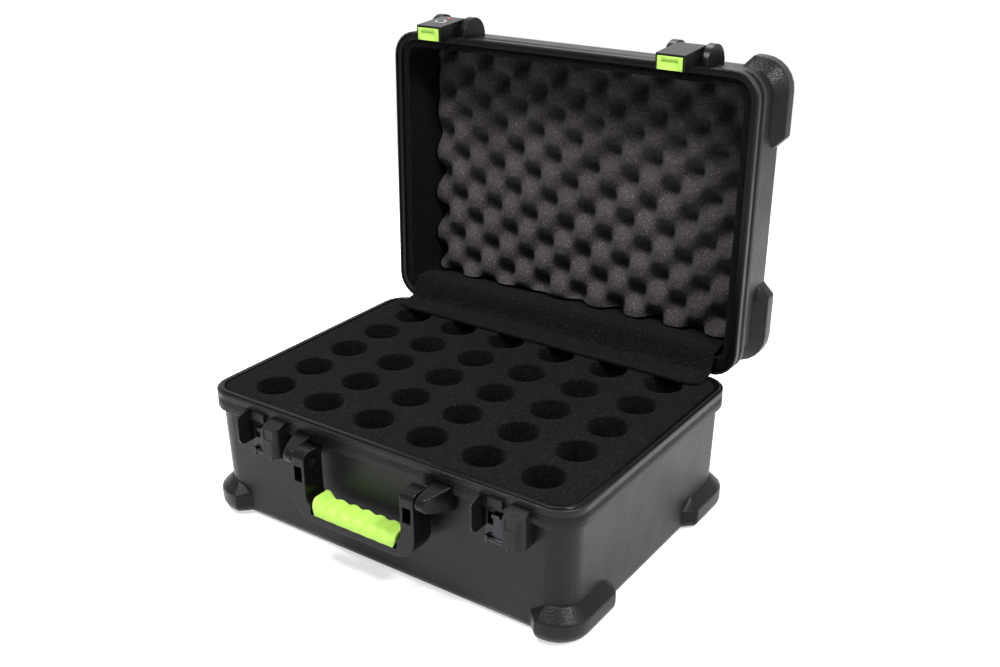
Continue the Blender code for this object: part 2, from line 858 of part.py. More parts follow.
# The arms' back corners are rounded about the pivot so that they turn clear of the collar.
heel_outline = [
    (HANDLE_BACK_Y - HANDLE_HEEL_RADIUS, HANDLE_TOP_Z + CUT_OVERRUN),
    *arc(
        (HANDLE_BACK_Y - HANDLE_HEEL_RADIUS, HANDLE_TOP_Z - HANDLE_HEEL_RADIUS),
        HANDLE_HEEL_RADIUS,
        90,
        0,
        5,
    ),
    (HANDLE_BACK_Y + CUT_OVERRUN, HANDLE_TOP_Z - HANDLE_HEEL_RADIUS),
    (HANDLE_BACK_Y + CUT_OVERRUN, HANDLE_TOP_Z + CUT_OVERRUN),
]
heel_cut = prism(
    "handle_heel", heel_outline, "YZ", -handle_half - CUT_OVERRUN, handle_half + CUT_OVERRUN
)
nose_outline = [
    (HANDLE_FACE_Y + HANDLE_HEEL_RADIUS, HANDLE_TOP_Z + CUT_OVERRUN),
    (HANDLE_FACE_Y - CUT_OVERRUN, HANDLE_TOP_Z + CUT_OVERRUN),
    (HANDLE_FACE_Y - CUT_OVERRUN, HANDLE_TOP_Z - HANDLE_HEEL_RADIUS),
    *arc(
        (HANDLE_FACE_Y + HANDLE_HEEL_RADIUS, HANDLE_TOP_Z - HANDLE_HEEL_RADIUS),
        HANDLE_HEEL_RADIUS,
        180,
        90,
        5,
    ),
]
nose_cut = prism(
    "handle_nose", nose_outline, "YZ", -handle_half - CUT_OVERRUN, handle_half + CUT_OVERRUN
)
cut(handle_frame, heel_cut, nose_cut)

grip_half = GRIP_LENGTH / 2
GRIP_LOW_Z = HANDLE_LOW_Z + GRIP_FRONT_DROP
bar_top_z = HANDLE_LOW_Z + HANDLE_BAR
for side, face, back in (
    ("front", HANDLE_FACE_Y - CUT_OVERRUN, HANDLE_FACE_Y + GRIP_SKIN),
    ("back", HANDLE_BACK_Y - GRIP_SKIN, HANDLE_BACK_Y + CUT_OVERRUN),
):
    cut(
        handle_frame,
        block(
            "grip_rebate_" + side,
            (-grip_half - SEAT_GAP, face, GRIP_LOW_Z - SEAT_GAP),
            (grip_half + SEAT_GAP, back, HANDLE_TOP_Z - SLOT_DROP - SLOT_HEIGHT - SLOT_DROP / 2),
        ),
    )
for side in (-1, 1):
    slot_x = side * (handle_half - HANDLE_ARM / 2)
    cut(
        handle_frame,
        block(
            "arm_slot_" + str(side),
            (slot_x - SLOT_WIDTH / 2, HANDLE_FACE_Y - CUT_OVERRUN, HANDLE_TOP_Z - SLOT_DROP - SLOT_HEIGHT),
            (slot_x + SLOT_WIDTH / 2, HANDLE_FACE_Y + SLOT_DEPTH, HANDLE_TOP_Z - SLOT_DROP),
        ),
    )
pin_reach = handle_half + LUG_GAP + LUG_THICKNESS
pin_bore = PIVOT_RADIUS + PIVOT_CLEARANCE
cut(
    handle_frame,
    rod(
        "handle_bore",
        pin_bore,
        (-pin_reach, PIVOT_Y, PIVOT_Z),
        (pin_reach, PIVOT_Y, PIVOT_Z),
    ),
)
smooth(handle_frame)
carry(handle_frame, handle_pivot)


def grip_top(x):
    """Height of the grip's finger side: waves in the middle, flared at the ends."""
    middle = grip_half - GRIP_END_LENGTH
    wave = GRIP_WAVE * math.cos(math.pi * GRIP_WAVES * x / middle)
    flare = max(0.0, (abs(x) - middle) / GRIP_END_LENGTH)
    return bar_top_z + SEAT_GAP + GRIP_SKIN + wave + GRIP_END_RISE * flare


grip_across = [grip_half - GRIP_LENGTH * i / (GRIP_POINTS - 1) for i in range(GRIP_POINTS)]
grip_outline = [(-grip_half, GRIP_LOW_Z), (grip_half, GRIP_LOW_Z)] + [(x, grip_top(x)) for x in grip_across]
handle_grip = prism(
    "handle_grip",
    grip_outline,
    "XZ",
    HANDLE_FACE_Y - GRIP_PROUD,
    HANDLE_BACK_Y + GRIP_PROUD,
    PARTS,
    "lime",
)
core = prism(
    "grip_core",
    handle_outline(SEAT_GAP),
    "XZ",
    HANDLE_FACE_Y + GRIP_SKIN - SEAT_GAP,
    HANDLE_BACK_Y - GRIP_SKIN + SEAT_GAP,
)
cut(handle_grip, core)
smooth(handle_grip)
carry(handle_grip, handle_pivot)

WALL_FACE_Y = -HALF_Y + WALL_STEP
for hand, side in (("left", -1), ("right", 1)):
    near = side * (handle_half + LUG_GAP)
    far = side * (handle_half + LUG_GAP + LUG_THICKNESS)
    root_far = far + side * LUG_FLARE
    lug_top = HANDLE_TOP_Z - LUG_TOP_DROP
    lug_low = lug_top - LUG_ROOT_HEIGHT
    nose = (HANDLE_FACE_Y + LUG_NOSE_RADIUS, lug_top - LUG_NOSE_RADIUS)
    collar_low = RIM_Z - COLLAR_HEIGHT - SEAT_GAP
    lug_outline = [
        (-HALF_Y - SEAT_GAP, lug_top + LUG_ROOT_RISE),
        *arc(nose, LUG_NOSE_RADIUS, 90, 250, 10),
        (WALL_FACE_Y - SEAT_GAP, lug_low),
        (WALL_FACE_Y - SEAT_GAP, collar_low),
        (-HALF_Y - SEAT_GAP, collar_low),
    ]
    mount = prism(
        "handle_mount_" + hand, lug_outline, "YZ", min(near, root_far), max(near, root_far), PARTS, "shell"
    )
    # Seen from above, the lug widens from its nose to the wall.
    flare = prism(
        "lug_flare_" + hand,
        [
            (near - side * CUT_OVERRUN, HANDLE_FACE_Y - CUT_OVERRUN),
            (far - side * LUG_FLARE * CUT_OVERRUN / HANDLE_FRONT, HANDLE_FACE_Y - CUT_OVERRUN),
            (root_far + side * LUG_FLARE * CUT_OVERRUN / HANDLE_FRONT, -HALF_Y + CUT_OVERRUN),
            (near - side * CUT_OVERRUN, -HALF_Y + CUT_OVERRUN),
        ],
        "XY",
        lug_low - CUT_OVERRUN,
        lug_top + LUG_ROOT_RISE + CUT_OVERRUN,
    )
    combine(mount, flare, "INTERSECT")
    soften(mount, LUG_EDGE, 2)
    pin_bored = rod(
        "lug_bore_" + hand,
        PIVOT_RADIUS + SEAT_GAP,
        (near - side * CUT_OVERRUN, PIVOT_Y, PIVOT_Z),
        (far - side * LUG_THICKNESS / 3, PIVOT_Y, PIVOT_Z),
    )
    cut(mount, pin_bored)
    smooth(mount)
    pin = rod(
        "handle_pin_" + hand,
        PIVOT_RADIUS,
        (side * (handle_half - HANDLE_ARM + SEAT_GAP), PIVOT_Y, PIVOT_Z),
        (far - side * (LUG_THICKNESS / 3 + SEAT_GAP), PIVOT_Y, PIVOT_Z),
        PARTS,
        "steel",
    )
    smooth(pin)

# ---- Catches on the base front ----
CATCH_TOP_Z = RIM_Z - CATCH_TOP_DROP
CATCH_LOW_Z = CATCH_TOP_Z - CATCH_HEIGHT
CATCH_BACK_Y = WALL_FACE_Y - SEAT_GAP
CATCH_FACE_Y = CATCH_BACK_Y - CATCH_PLATE
CATCH_PIN_Y = CATCH_BACK_Y - RUNNING_GAP - CATCH_HUB_RADIUS
CATCH_PIN_Z = CATCH_LOW_Z + CATCH_EAR_HEIGHT / 2
for hand, centre in (("left", -LATCH_X), ("right", LATCH_X)):
    plate = block(
        "catch_plate_" + hand,
        (centre - CATCH_WIDTH / 2, CATCH_FACE_Y, CATCH_LOW_Z),
        (centre + CATCH_WIDTH / 2, CATCH_BACK_Y, CATCH_TOP_Z),
        PARTS,
        "dark_steel",
    )
    half_span = CATCH_EAR_SPAN / 2
    bar_top = CATCH_PIN_Z + CATCH_BAR_HEIGHT
    bar_slot = block(
        "catch_bar_slot_" + hand,
        (centre - CATCH_BAR_WIDTH / 2 - RUNNING_GAP, CATCH_FACE_Y - CUT_OVERRUN, CATCH_LOW_Z - CUT_OVERRUN),
        (centre + CATCH_BAR_WIDTH / 2 + RUNNING_GAP, CATCH_BACK_Y + CUT_OVERRUN, bar_top + RUNNING_GAP),
    )
    hub_slot = block(
        "catch_hub_slot_" + hand,
        (centre - half_span, CATCH_FACE_Y - CUT_OVERRUN, CATCH_LOW_Z - CUT_OVERRUN),
        (centre + half_span, CATCH_BACK_Y + CUT_OVERRUN, CATCH_PIN_Z + CATCH_HUB_RADIUS + RUNNING_GAP),
    )
    cut(plate, bar_slot, hub_slot)
    for side in (-1, 1):
        near = centre + side * half_span
        far = near + side * CATCH_EAR_THICKNESS
        ear = block(
            "catch_ear_" + hand + str(side),
            (min(near, far), CATCH_FACE_Y - CATCH_EAR_PROUD, CATCH_LOW_Z),
            (max(near, far), CATCH_FACE_Y + CATCH_PLATE / 2, CATCH_LOW_Z + CATCH_EAR_HEIGHT),
        )
        window_x = centre + side * ((CATCH_BAR_WIDTH + CATCH_WINDOW_WIDTH) / 2 + CATCH_PLATE)
        window = block(
            "catch_window_" + hand + str(side),
            (
                window_x - CATCH_WINDOW_WIDTH / 2,
                CATCH_FACE_Y - CUT_OVERRUN,
                CATCH_TOP_Z - CATCH_WINDOW_DROP - CATCH_WINDOW_HEIGHT,
            ),
            (window_x + CATCH_WINDOW_WIDTH / 2, CATCH_BACK_Y + CUT_OVERRUN, CATCH_TOP_Z - CATCH_WINDOW_DROP),
        )
        join(plate, ear)
        cut(plate, window)
    cut(
        plate,
        rod(
            "catch_bore_" + hand,
            CATCH_PIN_RADIUS + SEAT_GAP,
            (centre - half_span - CATCH_EAR_THICKNESS - CUT_OVERRUN, CATCH_PIN_Y, CATCH_PIN_Z),
            (centre + half_span + CATCH_EAR_THICKNESS + CUT_OVERRUN, CATCH_PIN_Y, CATCH_PIN_Z),
            sides=16,
        ),
    )
    smooth(plate)
    catch_pivot = new_pivot("catch_pivot_" + hand, (centre, CATCH_PIN_Y, CATCH_PIN_Z))
    bar_back = CATCH_BACK_Y - RUNNING_GAP
    bar_face = bar_back - CATCH_BAR_THICKNESS
    hook = block(
        "catch_hook_" + hand,
        (centre - CATCH_BAR_WIDTH / 2, bar_face, CATCH_PIN_Z),
        (centre + CATCH_BAR_WIDTH / 2, bar_back, bar_top),
        PARTS,
        "dark_steel",
    )
    nose = block(
        "catch_nose_" + hand,
        (centre - CATCH_BAR_WIDTH / 2, bar_face - CATCH_NOSE_PROUD, bar_top - CATCH_NOSE_HEIGHT),
        (centre + CATCH_BAR_WIDTH / 2, bar_face + CATCH_BAR_THICKNESS / 2, bar_top),
    )
    hub = rod(
        "catch_hub_" + hand,
        CATCH_HUB_RADIUS,
        (centre - half_span + RUNNING_GAP, CATCH_PIN_Y, CATCH_PIN_Z),
        (centre + half_span - RUNNING_GAP, CATCH_PIN_Y, CATCH_PIN_Z),
        sides=16,
    )
    hub_bore = rod(
        "catch_hub_bore_" + hand,
        CATCH_PIN_RADIUS + RUNNING_GAP,
        (centre - half_span - CUT_OVERRUN, CATCH_PIN_Y, CATCH_PIN_Z),
        (centre + half_span + CUT_OVERRUN, CATCH_PIN_Y, CATCH_PIN_Z),
        sides=16,
    )
    join(hook, nose, hub)
    cut(hook, hub_bore)
    smooth(hook)
    carry(hook, catch_pivot)
    smooth(
        rod(
            "catch_pin_" + hand,
            CATCH_PIN_RADIUS,
            (centre - half_span - CATCH_EAR_THICKNESS, CATCH_PIN_Y, CATCH_PIN_Z),
            (centre + half_span + CATCH_EAR_THICKNESS, CATCH_PIN_Y, CATCH_PIN_Z),
            PARTS,
            "steel",
            16,
        )
    )

# ---- Lid, built closed and then swung open about the hinge axis ----
lid_pivot = new_pivot("lid_pivot", (0, HINGE_Y, HINGE_Z))
lid_wall_low = LID_RIM_Z + COLLAR_HEIGHT / 2
lid_shell = drafted_block(
    "lid_shell",
    WALL_STEP,
    WALL_STEP + DRAFT,
    lid_wall_low,
    LID_TOP_Z,
    WALL_CORNER_RADIUS,
    (LID_TOP_Z, LID_TOP_ROUND),
    PARTS,
    "shell",
)
SEAL_LOW_Z = LIP_TOP_Z + SEAT_GAP
SEAL_HIGH_Z = SEAL_LOW_Z + SEAL_THICKNESS
join(
    lid_shell,
    swept_ring("lid_collar", collar_profile(1, SEAL_HIGH_Z + SEAT_GAP - LID_RIM_Z), LID_RIM_Z),
    *bumpers("lid", LID_TOP_Z - BUMPER_HEIGHT, LID_TOP_Z - BUMPER_LIFT, LID_TOP_Z - BUMPER_HEIGHT),
)
lid_cavity = drafted_block(
    "lid_cavity",
    RIM_WIDTH,
    WALL_STEP + DRAFT + WALL,
    LID_RIM_Z - CUT_OVERRUN,
    LID_TOP_Z - FLOOR,
    CAVITY_CORNER_RADIUS,
)
cut(lid_shell, lid_cavity)
for hand, centre in (("left", -HINGE_X), ("right", HINGE_X)):
    cut(
        lid_shell,
        hinge_notch("lid_notch_" + hand, centre, LID_RIM_Z - CUT_OVERRUN, HINGE_Z + barrel_reach),
    )
smooth(lid_shell)
carry(lid_shell, lid_pivot)

lid_seal = swept_ring(
    "lid_seal",
    [
        (-RIM_WIDTH, 0),
        (LIP_WIDTH - RIM_WIDTH, 0),
        (LIP_WIDTH - RIM_WIDTH, SEAL_THICKNESS),
        (-RIM_WIDTH, SEAL_THICKNESS),
    ],
    SEAL_LOW_Z,
    PARTS,
    "glossy",
)
smooth(lid_seal)
carry(lid_seal, lid_pivot)


def lid_inset(z):
    """How far inside the collar the lid cavity's wall stands at a height."""
    low, high = RIM_WIDTH, WALL_STEP + DRAFT + WALL
    start = LID_RIM_Z - CUT_OVERRUN
    return low + (high - low) * (z - start) / (LID_TOP_Z - FLOOR - start)


liner_low = SEAL_HIGH_Z + SIDE_FOAM_BELOW_SEAL
liner_high = LID_TOP_Z - FLOOR - SEAT_GAP
liner_middle = drafted_block(
    "liner_middle",
    lid_inset(liner_low - CUT_OVERRUN) + SEAT_GAP + SIDE_FOAM_THICKNESS,
    lid_inset(liner_high + CUT_OVERRUN) + SEAT_GAP + SIDE_FOAM_THICKNESS,
    liner_low - CUT_OVERRUN,
    liner_high + CUT_OVERRUN,
    CAVITY_CORNER_RADIUS - SIDE_FOAM_THICKNESS,
)
# Each strip ends in a mitre on the corner's diagonal.
mitre = 2 * CAVITY_CORNER_RADIUS
for side, half_long, half_short, turn in (
    ("front", HALF_X, HALF_Y, 180),
    ("rear", HALF_X, HALF_Y, 0),
    ("left", HALF_Y, HALF_X, 90),
    ("right", HALF_Y, HALF_X, 270),
):
    strip = drafted_block(
        "lid_foam_" + side,
        lid_inset(liner_low) + SEAT_GAP,
        lid_inset(liner_high) + SEAT_GAP,
        liner_low,
        liner_high,
        CAVITY_CORNER_RADIUS,
        None,
        PARTS,
        "foam",
    )
    wedge = prism(
        "foam_mitre_" + side,
        [
            (-half_long + SEAT_GAP, half_short),
            (half_long - SEAT_GAP, half_short),
            (half_long - SEAT_GAP - mitre, half_short - mitre),
            (-half_long + SEAT_GAP + mitre, half_short - mitre),
        ],
        "XY",
        liner_low - CUT_OVERRUN,
        liner_high + CUT_OVERRUN,
    )
    wedge.data.transform(Matrix.Rotation(math.radians(turn), 4, "Z"))
    cut(strip, liner_middle)
    combine(strip, wedge, "INTERSECT")
    smooth(strip)
    carry(strip, lid_pivot)

# The wave foam's face has peaks and hollows on a square lattice that is turned in the lid.
wave_back_z = liner_high
wave_face_z = wave_back_z - WAVE_FOAM_THICKNESS
wave_inset = lid_inset(wave_back_z) + SIDE_FOAM_THICKNESS + WAVE_FOAM_MARGIN
wave_turn = math.radians(WAVE_TURN_DEGREES)
bm = bmesh.new()
bmesh.ops.create_grid(bm, x_segments=WAVE_COLUMNS, y_segments=WAVE_ROWS, size=1.0)
for vert in bm.verts:
    across, along = vert.co.x * HALF_X, vert.co.y * HALF_Y
    from_x, from_y = across - WAVE_START_X, along - WAVE_START_Y
    first = (from_x * math.cos(wave_turn) + from_y * math.sin(wave_turn)) / WAVE_PITCH
    second = (from_x * math.sin(wave_turn) - from_y * math.cos(wave_turn)) / WAVE_PITCH
    peak = (math.cos(math.tau * first) + math.cos(math.tau * second)) / 2
    vert.co = (across, along, wave_face_z + WAVE_DEPTH * (1 - peak) / 2)
drawn = bmesh.ops.extrude_face_region(bm, geom=bm.faces[:])
for item in drawn["geom"]:
    if isinstance(item, bmesh.types.BMVert):
        item.co.z = wave_back_z + CUT_OVERRUN
lid_wave_foam = place("lid_wave_foam", mesh_from(bm, "lid_wave_foam"), PARTS, "foam")
wave_bounds = drafted_block(
    "wave_bounds",
    wave_inset,
    wave_inset,
    wave_face_z - CUT_OVERRUN,
    wave_back_z,
    CAVITY_CORNER_RADIUS - SIDE_FOAM_THICKNESS,
)
combine(lid_wave_foam, wave_bounds, "INTERSECT")
smooth(lid_wave_foam)
carry(lid_wave_foam, lid_pivot)

# ---- Latches ----
ARM_TIP_Z = RIM_Z + LIP_RISE - ARM_REACH
ARM_TIP_FACE_Y = -HALF_Y - ARM_TIP_FRONT
ARM_ROOT_FACE_Y = -HALF_Y - ARM_ROOT_FRONT
ARM_BACK_Y = -HALF_Y - ARM_BACK_GAP
LATCH_PIVOT_Y = -HALF_Y - LATCH_PIVOT_FRONT
LATCH_PIVOT_Z = RIM_Z + LATCH_PIVOT_RISE
EAR_Z = RIM_Z + EAR_RISE
face_lean = math.atan2(ARM_ROOT_FRONT - ARM_TIP_FRONT, LATCH_PIVOT_Z - ARM_TIP_Z)
ARM_FACE_NORMAL = Vector((0, -math.cos(face_lean), -math.sin(face_lean)))


def arm_face(drop):
    """The point of an arm's front face that lies drop below the lip, at X = 0."""
    z = LIP_TOP_Z - drop
    share = (z - ARM_TIP_Z) / (LATCH_PIVOT_Z - ARM_TIP_Z)
    return Vector((0, ARM_TIP_FACE_Y + (ARM_ROOT_FACE_Y - ARM_TIP_FACE_Y) * share, z))


for hand, centre in (("left", -LATCH_X), ("right", LATCH_X)):
    ear_far = arm_side + EAR_CLEARANCE + EAR_THICKNESS
    ear_outline = [
        (-HALF_Y - SEAT_GAP, EAR_Z + EAR_RADIUS),
        *arc((-HALF_Y - SEAT_GAP, EAR_Z), EAR_RADIUS, 90, 270, 14),
    ]
    bracket = prism(
        "latch_bracket_" + hand, ear_outline, "YZ", centre - ear_far, centre + ear_far, PARTS, "shell"
    )
    heel = block(
        "bracket_heel_" + hand,
        (centre - ear_far, -HALF_Y - SEAT_GAP - WALL, LID_RIM_Z + COLLAR_HEIGHT + SEAT_GAP),
        (centre + ear_far, -HALF_Y + WALL_STEP - SEAT_GAP, EAR_Z + EAR_RADIUS),
    )
    join(bracket, heel)
    slot = block(
        "bracket_slot_" + hand,
        (
            centre - arm_side - EAR_CLEARANCE,
            -HALF_Y - EAR_RADIUS - CUT_OVERRUN,
            EAR_Z - EAR_RADIUS - CUT_OVERRUN,
        ),
        (centre + arm_side + EAR_CLEARANCE, -HALF_Y + WALL_STEP + CUT_OVERRUN, RIM_Z + EAR_WEB_RISE),
    )
    web_trim = block(
        "bracket_web_trim_" + hand,
        (
            centre - arm_side - EAR_CLEARANCE,
            -HALF_Y - EAR_RADIUS - CUT_OVERRUN,
            RIM_Z + EAR_WEB_RISE - RUNNING_GAP,
        ),
        (
            centre + arm_side + EAR_CLEARANCE,
            -HALF_Y - EAR_WEB_FRONT,
            EAR_Z + EAR_RADIUS + CUT_OVERRUN,
        ),
    )
    cut(bracket, slot, web_trim)
    pin_half = ear_far - EAR_THICKNESS / 4
    bracket_bore = rod(
        "bracket_bore_" + hand,
        LATCH_PIN_RADIUS + SEAT_GAP,
        (centre - pin_half - SEAT_GAP, LATCH_PIVOT_Y, LATCH_PIVOT_Z),
        (centre + pin_half + SEAT_GAP, LATCH_PIVOT_Y, LATCH_PIVOT_Z),
        sides=16,
    )
    cut(bracket, bracket_bore)
    smooth(bracket)
    carry(bracket, lid_pivot)
    latch_pin = rod(
        "latch_pin_" + hand,
        LATCH_PIN_RADIUS,
        (centre - pin_half, LATCH_PIVOT_Y, LATCH_PIVOT_Z),
        (centre + pin_half, LATCH_PIVOT_Y, LATCH_PIVOT_Z),
        PARTS,
        "steel",
        16,
    )
    smooth(latch_pin)
    carry(latch_pin, lid_pivot)

    arm_pivot = new_pivot("latch_pivot_" + hand, (centre, LATCH_PIVOT_Y, LATCH_PIVOT_Z), lid_pivot)
    tip_back_y = ARM_BACK_Y + WALL_STEP / 3
    arm_outline = [
        (ARM_TIP_FACE_Y, ARM_TIP_Z),
        (ARM_ROOT_FACE_Y, LATCH_PIVOT_Z),
        *arc((LATCH_PIVOT_Y, LATCH_PIVOT_Z), ARM_END_RADIUS, 160, 0, 10),
        (ARM_BACK_Y, LATCH_PIVOT_Z),
        (ARM_BACK_Y, RIM_Z - COLLAR_HEIGHT - COLLAR_EDGE),
        (tip_back_y, RIM_Z - COLLAR_HEIGHT - WALL_STEP / 2),
        (tip_back_y, ARM_TIP_Z),
    ]
    arm = prism(
        "latch_arm_" + hand, arm_outline, "YZ", centre - arm_side, centre + arm_side, PARTS, "shell"
    )
    soften(arm, ARM_WALL / 4, 2)
    hollow_top = ARM_TIP_Z + ARM_HOLLOW
    hollow = prism(
        "arm_hollow_" + hand,
        [
            (ARM_TIP_FACE_Y + ARM_WALL, ARM_TIP_Z - CUT_OVERRUN),
            (tip_back_y + CUT_OVERRUN, ARM_TIP_Z - CUT_OVERRUN),
            (tip_back_y + CUT_OVERRUN, hollow_top),
            (ARM_TIP_FACE_Y + ARM_WALL, hollow_top),
        ],
        "YZ",
        centre - arm_side + ARM_WALL,
        centre + arm_side - ARM_WALL,
    )
    arm_cutters = [
        hollow,
        rod(
            "arm_bore_" + hand,
            LATCH_PIN_RADIUS + RUNNING_GAP,
            (centre - arm_side - CUT_OVERRUN, LATCH_PIVOT_Y, LATCH_PIVOT_Z),
            (centre + arm_side + CUT_OVERRUN, LATCH_PIVOT_Y, LATCH_PIVOT_Z),
            sides=16,
        ),
    ]

    # The claw hangs in the arm's hollow and its nose turns in under the catch hook.
    claw_face = ARM_TIP_FACE_Y + CLAW_INSET
    claw_top = LIP_TOP_Z - CLAW_DROP
    claw = block(
        "latch_claw_" + hand,
        (centre - CLAW_WIDTH / 2, claw_face, claw_top - CLAW_NOSE_HEIGHT),
        (centre + CLAW_WIDTH / 2, claw_face + CLAW_THICKNESS, hollow_top - SEAT_GAP),
        PARTS,
        "steel",
    )
    claw_nose = block(
        "claw_nose_" + hand,
        (centre - CLAW_WIDTH / 2, claw_face, claw_top - CLAW_NOSE_HEIGHT),
        (centre + CLAW_WIDTH / 2, ARM_BACK_Y - CLAW_NOSE_BACK, claw_top),
    )
    join(claw, claw_nose)
    smooth(claw)

    tab_pivot = new_pivot(
        "tab_slide_" + hand, (centre, ARM_TIP_FACE_Y + ARM_WALL, ARM_TIP_Z), arm_pivot
    )
    tab_side = arm_side - ARM_WALL - TAB_SIDE_GAP
    tab_face_y = ARM_TIP_FACE_Y + ARM_WALL + TAB_SIDE_GAP
    tab = block(
        "latch_tab_" + hand,
        (centre - tab_side, tab_face_y, ARM_TIP_Z - TAB_PROUD),
        (centre + tab_side, tip_back_y - TAB_BACK, ARM_TIP_Z - TAB_PROUD + TAB_CAP),
        PARTS,
        "lime",
    )
    leg_near = CLAW_WIDTH / 2 + TAB_SIDE_GAP
    for side in (-1, 1):
        leg_x = centre + side * (leg_near + TAB_LEG_WIDTH / 2)
        leg = block(
            "tab_leg_" + hand + str(side),
            (leg_x - TAB_LEG_WIDTH / 2, tab_face_y, ARM_TIP_Z),
            (leg_x + TAB_LEG_WIDTH / 2, tab_face_y + TAB_LEG_DEPTH, ARM_TIP_Z - TAB_PROUD + TAB_LEG_LENGTH),
        )
        join(tab, leg)
    scoop_y = tab_face_y + (tip_back_y - TAB_BACK - tab_face_y) * TAB_SCOOP_SHARE
    scoop_z = ARM_TIP_Z - TAB_PROUD - TAB_SCOOP_RADIUS + TAB_SCOOP_DEPTH
    scoop_half = tab_side * TAB_SCOOP_SHARE
    scoop = rod(
        "tab_scoop_" + hand,
        TAB_SCOOP_RADIUS,
        (centre - scoop_half, scoop_y, scoop_z),
        (centre + scoop_half, scoop_y, scoop_z),
        sides=48,
    )
    cut(tab, scoop)
    smooth(tab, 20)
    carry(tab, tab_pivot)

    if hand == "left":
        key_spot = arm_face(KEY_DROP) + Vector((centre, 0, 0))
        key_pivot = new_pivot("key_pivot", key_spot, arm_pivot)
        inward = -ARM_FACE_NORMAL
        barrel = rod(
            "key_barrel",
            KEY_BARREL_RADIUS,
            key_spot + ARM_FACE_NORMAL * KEY_BARREL_PROUD,
            key_spot + inward * KEY_BARREL_DEPTH,
            PARTS,
            "steel",
            28,
        )
        barrel_seat = rod(
            "key_barrel_seat",
            KEY_BARREL_RADIUS + SEAT_GAP,
            key_spot + ARM_FACE_NORMAL * CUT_OVERRUN,
            key_spot + inward * (KEY_BARREL_DEPTH + SEAT_GAP),
            sides=28,
        )
        arm_cutters.insert(0, barrel_seat)
        plug = rod(
            "key_plug",
            KEY_PLUG_RADIUS,
            key_spot + ARM_FACE_NORMAL * (KEY_BARREL_PROUD + KEY_PLUG_PROUD),
            key_spot + inward * (KEY_BARREL_DEPTH - KEY_SLOT_WIDTH),
            PARTS,
            "dark_steel",
            24,
        )
        plug_seat = rod(
            "key_plug_seat",
            KEY_PLUG_RADIUS + RUNNING_GAP,
            key_spot + ARM_FACE_NORMAL * CUT_OVERRUN,
            key_spot + inward * (KEY_BARREL_DEPTH - KEY_SLOT_WIDTH + RUNNING_GAP),
            sides=24,
        )
        cut(barrel, plug_seat)
        key_slot = block(
            "key_slot",
            (-KEY_SLOT_WIDTH / 2, -KEY_SLOT_LENGTH / 2, -KEY_SLOT_DEPTH),
            (KEY_SLOT_WIDTH / 2, KEY_SLOT_LENGTH / 2, CUT_OVERRUN),
        )
        aim = ARM_FACE_NORMAL.to_track_quat("Z", "X").to_matrix().to_4x4()
        key_slot.data.transform(Matrix.Translation(key_spot) @ aim)
        cut(plug, key_slot)
        dot_spot = arm_face(INDICATOR_DROP) + Vector((centre, 0, 0))
        dot = rod(
            "lock_indicator",
            INDICATOR_RADIUS,
            dot_spot + ARM_FACE_NORMAL * INDICATOR_PROUD,
            dot_spot + inward * INDICATOR_DEPTH,
            PARTS,
            "red",
            20,
        )
        indicator_seat = rod(
            "indicator_seat",
            INDICATOR_RADIUS + SEAT_GAP,
            dot_spot + ARM_FACE_NORMAL * CUT_OVERRUN,
            dot_spot + inward * (INDICATOR_DEPTH + SEAT_GAP),
            sides=20,
        )
        arm_cutters.insert(0, indicator_seat)
        for piece in (barrel, dot):
            smooth(piece)
            carry(piece, arm_pivot)
        smooth(plug)
        carry(plug, key_pivot)
    cut(arm, *arm_cutters)
    smooth(arm)
    carry(arm, arm_pivot)
    carry(claw, arm_pivot)

# ---- Rear hinges ----
LEAF_NEAR_Y = HALF_Y + SEAT_GAP
LEAF_FAR_Y = LEAF_NEAR_Y + HINGE_LEAF
knuckle = (HINGE_LENGTH - (HINGE_KNUCKLES - 1) * HINGE_GAP) / HINGE_KNUCKLES


def hinge_leaf(name, centre, first, low, high):
    """A hinge leaf with every second knuckle, counted from first."""
    start = centre - HINGE_LENGTH / 2
    leaf = block(
        name, (start, LEAF_NEAR_Y, low), (start + HINGE_LENGTH, LEAF_FAR_Y, high), PARTS, "dark_steel"
    )
    up = low > HINGE_Z
    bore = rod(
        name + "_bore",
        HINGE_PIN_RADIUS + RUNNING_GAP,
        (start - CUT_OVERRUN, HINGE_Y, HINGE_Z),
        (start + HINGE_LENGTH + CUT_OVERRUN, HINGE_Y, HINGE_Z),
        sides=12,
    )
    for i in range(first, HINGE_KNUCKLES, 2):
        near = start + i * (knuckle + HINGE_GAP)
        barrel = rod(
            name + "_knuckle_" + str(i),
            HINGE_RADIUS,
            (near, HINGE_Y, HINGE_Z),
            (near + knuckle, HINGE_Y, HINGE_Z),
            sides=14,
        )
        neck = block(
            name + "_neck_" + str(i),
            (near, LEAF_NEAR_Y, HINGE_Z if up else high - HINGE_LEAF_NECK),
            (near + knuckle, LEAF_FAR_Y, low + HINGE_LEAF_NECK if up else HINGE_Z),
        )
        join(leaf, barrel, neck)
    cut(leaf, bore)
    smooth(leaf)
    return leaf


